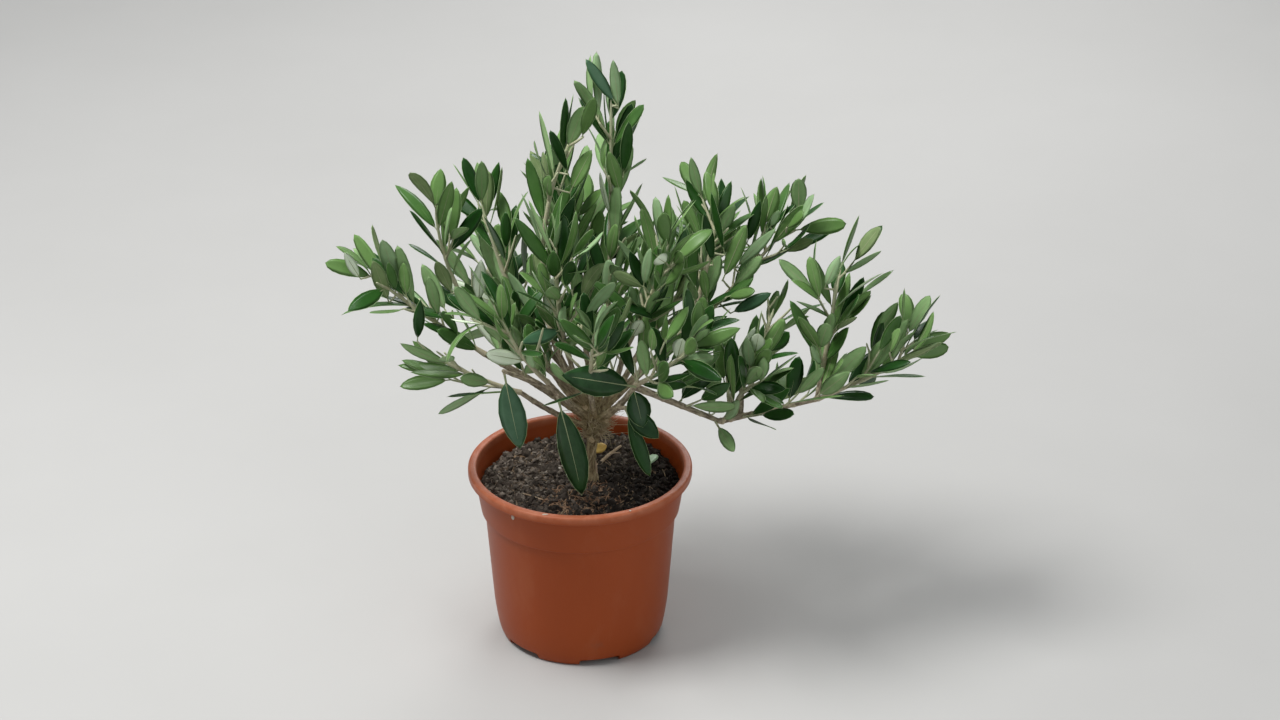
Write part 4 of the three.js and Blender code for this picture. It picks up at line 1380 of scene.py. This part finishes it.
def leaf_material(name, dark, light, roughness, coat, specular=0.5):
    """A leaf's skin between two near greens, with the faint dimples of its scales."""
    made, tree, shader = new_material(name, roughness, specular, coat)
    tone = mottled(tree, 130, dark, light, 0.3, 0.7)
    surfaced(tree, shader, tone.outputs["Color"], 1600, 0.00005)
    return made


UPPER_TONES = (
    ("leaf_deep", (0.007, 0.042, 0.004), (0.013, 0.064, 0.008)),
    ("leaf_dark", (0.016, 0.072, 0.009), (0.028, 0.098, 0.016)),
    ("leaf_green", (0.044, 0.122, 0.023), (0.066, 0.156, 0.034)),
    ("leaf_young", (0.105, 0.212, 0.054), (0.140, 0.256, 0.074)),
    ("leaf_shaded", (0.007, 0.034, 0.006), (0.022, 0.072, 0.020)),
    ("leaf_blue_green", (0.036, 0.098, 0.046), (0.062, 0.142, 0.074)),
)
UNDER_TONES = (
    ("leaf_under_sage", (0.225, 0.375, 0.148), (0.285, 0.450, 0.196)),
    ("leaf_under_grey", (0.265, 0.418, 0.200), (0.335, 0.495, 0.265)),
    ("leaf_under_green", (0.150, 0.285, 0.080), (0.200, 0.350, 0.115)),
    # A painted glint: near-white undersides, for leaves that catch the light.
    ("leaf_under_painted_glint", (0.720, 0.840, 0.620), (0.860, 0.940, 0.760)),
    ("leaf_under_olive", (0.185, 0.260, 0.105), (0.255, 0.345, 0.155)),
)
# Old leaves are dealt the first three upper tones, young ones the fourth. The rest are for single leaves.
YOUNG = 3
YOUNG_SHARE = 0.75
UPPER_SHARES = (0.3, 0.4, 0.3)
UNDER_SHARES = (0.42, 0.22, 0.22, 0.04, 0.10)
# roughness, coat and gloss
UPPER_FINISH = (0.34, 0.16, 0.22)
UNDER_FINISH = (0.72, 0.0, 0.18)
LEAF_SEED = 21
TONE_SEED = 22

grown = leaf_arrays(leaves, LEAF_SEED)
copies, faces, marks = blades(grown)
dealt = np.random.default_rng(TONE_SEED)
young = dealt.random(len(leaves)) < YOUNG_SHARE * np.array([leaf["young"] for leaf in leaves])
upper = np.where(young, YOUNG, dealt.choice(YOUNG, len(leaves), p=UPPER_SHARES))
under = dealt.choice(len(UNDER_TONES), len(leaves), p=UNDER_SHARES)
for number, leaf in enumerate(leaves):
    upper[number], under[number] = leaf.get("tones", (upper[number], under[number]))
under += len(UPPER_TONES)
marks = np.where(marks[None] == 0, upper[:, None], under[:, None])
foliage = joined("leaves", copies, faces, marks)
skins = [leaf_material(*tone, *UPPER_FINISH) for tone in UPPER_TONES]
skins += [leaf_material(*tone, *UNDER_FINISH) for tone in UNDER_TONES]
dress(foliage, skins, crease=180)
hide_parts(*["spray_" + name for name in NAMES])
stalks = ribs(grown)
rib_skin = leaf_material("leaf_rib", (0.28, 0.33, 0.17), (0.36, 0.40, 0.22), 0.6, 0.0)
dress(stalks, [rib_skin], crease=80)
edges = margins(grown)
edge_skin = leaf_material("leaf_margin", (0.19, 0.31, 0.12), (0.36, 0.48, 0.25), 0.55, 0.0, 0.2)
dress(edges, [edge_skin], crease=80)

# Litter: what has dropped on the soil and the rim, and lies there loose.
# Three fallen leaves, a dead twig with a side shoot, a splinter by the trunk's foot, and pale chips of bark.
LITTER_SEED = 31
CHIP_SEED = 32
CHIP_LUMPS = 0.3
FALLEN = (
    # seat, tip, face, width
    ((0.0058, 0.0235, 0.1030), (0.0158, 0.0262, 0.1052), (0.25, -0.60, 0.80), 0.0070),
    ((0.0358, 0.0040, 0.1016), (0.0430, 0.0200, 0.1068), (-0.2, -0.80, 0.55), 0.0104),
    ((-0.0300, 0.0300, 0.0990), (-0.0420, 0.0200, 0.0995), (0.1, 0.1, 1.0), 0.0070),
)
DEAD_WOOD = (
    # points and the radius at each
    ((0.0096, 0.011, 0.1002), 0.0011, (0.0168, 0.0195, 0.103), 0.001, (0.024, 0.0275, 0.1047), 0.0008),
    ((0.0168, 0.0195, 0.103), 0.0006, (0.02, 0.02, 0.1042), 0.0005, (0.0235, 0.0192, 0.1046), 0.0003),
    ((0.0096, -0.0062, 0.105), 0.0005, (0.0093, -0.0058, 0.1085), 0.00065, (0.0089, -0.0054, 0.113), 0.0003),
    ((-0.033, -0.018, 0.0985), 0.0004, (-0.028, -0.023, 0.0998), 0.0004, (-0.0215, -0.0265, 0.099), 0.0003),
)
CHIPS = (
    # place and size
    ((0.0134, 0.0455, 0.1040), (0.0030, 0.0012, 0.0017)),
    ((-0.0117, 0.0112, 0.0990), (0.0013, 0.0010, 0.0007)),
    ((-0.0068, 0.0028, 0.0990), (0.0016, 0.0008, 0.0006)),
    ((-0.0384, -0.0474, 0.0995), (0.0010, 0.0005, 0.0016)),
    ((-0.0200, -0.0600, 0.1082), (0.0017, 0.0005, 0.0004)),
    ((0.0280, -0.0567, 0.1082), (0.0007, 0.0006, 0.0004)),
)


def fallen_leaves():
    """The fallen leaves, with their places given by seat and tip."""
    kept = []
    for seat, tip, face, width in FALLEN:
        reach = np.array(tip) - seat
        length = np.linalg.norm(reach)
        kept.append({"seat": np.array(seat), "way": reach / length, "face": np.array(face), "length": length})
        kept[-1].update(width=width, curl=0.7)
    grown = leaf_arrays(kept, LITTER_SEED)
    copies, faces, marks = blades(grown)
    marks = np.repeat(np.arange(len(kept))[:, None], len(marks), axis=1)
    return joined("fallen_leaves", copies, faces, marks)


def dead_wood():
    """The dead twig, the splinter and a bare bit of root."""
    lines = np.array([row[0::2] for row in DEAD_WOOD])
    radii = np.array([row[1::2] for row in DEAD_WOOD])
    return rods("dead_wood", 6, lines, radii)


def chips():
    """The flat pale chips, each a squashed lump."""
    random = np.random.default_rng(CHIP_SEED)
    round_chip, faces = ball(2)
    place, size = np.array(CHIPS).transpose(1, 0, 2)[:, :, None]
    lumps = 1 + CHIP_LUMPS * (random.random((len(CHIPS), len(round_chip), 1)) - 0.5)
    return joined("chips", round_chip[None] * lumps * size + place, faces)


litter = fallen_leaves()
dead_leaf = leaf_material("dead_leaf_yellow", (0.44, 0.23, 0.040), (0.90, 0.66, 0.17), 0.6, 0.0)
dropped_leaf = leaf_material("dropped_leaf_green", (0.26, 0.42, 0.24), (0.42, 0.60, 0.38), 0.5, 0.1)
brown_leaf = leaf_material("dead_leaf_brown", (0.17, 0.10, 0.05), (0.26, 0.17, 0.09), 0.8, 0.0)
dress(litter, [dead_leaf, dropped_leaf, brown_leaf], crease=180)
sticks = dead_wood()
dry_wood = plain_material("dead_wood", (0.42, 0.30, 0.19), (0.66, 0.52, 0.37), 300)
dress(sticks, [dry_wood], crease=60)
flakes = chips()
pale_bark = plain_material("bark_chips", (0.54, 0.48, 0.40), (0.76, 0.72, 0.64), 300)
dress(flakes, [pale_bark], crease=60)

# The setting: a plain pale floor that isn't part of the plant, soft light from above, and the camera.
# The camera looks down 28.5 degrees on the upright pot, the angle from which the photograph shows it.
FLOOR_SIZE = 14
FLOOR_PALE = (0.45, 0.445, 0.43)
FLOOR_PALER = (0.48, 0.475, 0.46)
bm = bmesh.new()
bmesh.ops.create_grid(bm, x_segments=8, y_segments=8, size=FLOOR_SIZE)
floor = as_object(bm, "floor")
paint, tree, shader = new_material("floor", 0.8, 0.2)
tone = mottled(tree, 1.5, FLOOR_PALE, FLOOR_PALER)
tree.links.new(tone.outputs["Color"], shader.inputs["Base Color"])
floor.data.materials.append(paint)


def softbox(name, place, aim, size, power):
    """A round light that shines softly from a place towards a point."""
    light = bpy.data.lights.new(name, "AREA")
    light.shape = "DISK"
    light.size = size
    light.energy = power
    made = bpy.data.objects.new(name, light)
    made.location = place
    made.rotation_euler = (Vector(aim) - Vector(place)).to_track_quat("-Z", "Y").to_euler()
    bpy.context.scene.collection.objects.link(made)


CROWN = (0.02, 0, 0.2)
softbox("key_light", (-0.60, -0.15, 1.55), CROWN, 0.7, 27)
softbox("fill_light", (1.2, -0.9, 0.8), CROWN, 1.2, 3)
softbox("back_light", (0.3, 1.2, 0.9), CROWN, 0.8, 8)
STUDIO_WHITE = (0.93, 0.96, 1.0)
STUDIO_STRENGTH = 0.4
world = bpy.data.worlds.new("studio")
world.use_nodes = True
glow = world.node_tree.nodes["Background"]
glow.inputs["Color"].default_value = (*STUDIO_WHITE, 1)
glow.inputs["Strength"].default_value = STUDIO_STRENGTH
bpy.context.scene.world = world
bpy.context.scene.view_settings.view_transform = "Standard"

CAMERA_PLACE = (0, -1.757634, 1.062318)
CAMERA_AIM = (0.017626, 0.892538, -0.450627)
CAMERA_LENS = 97
CAMERA_REACH = 20
camera = bpy.data.objects.new("camera", bpy.data.cameras.new("camera"))
camera.data.sensor_width = 36
camera.data.lens = CAMERA_LENS
camera.data.clip_end = CAMERA_REACH
camera.location = CAMERA_PLACE
camera.rotation_euler = Vector(CAMERA_AIM).to_track_quat("-Z", "Y").to_euler()
bpy.context.scene.collection.objects.link(camera)
bpy.context.scene.camera = camera
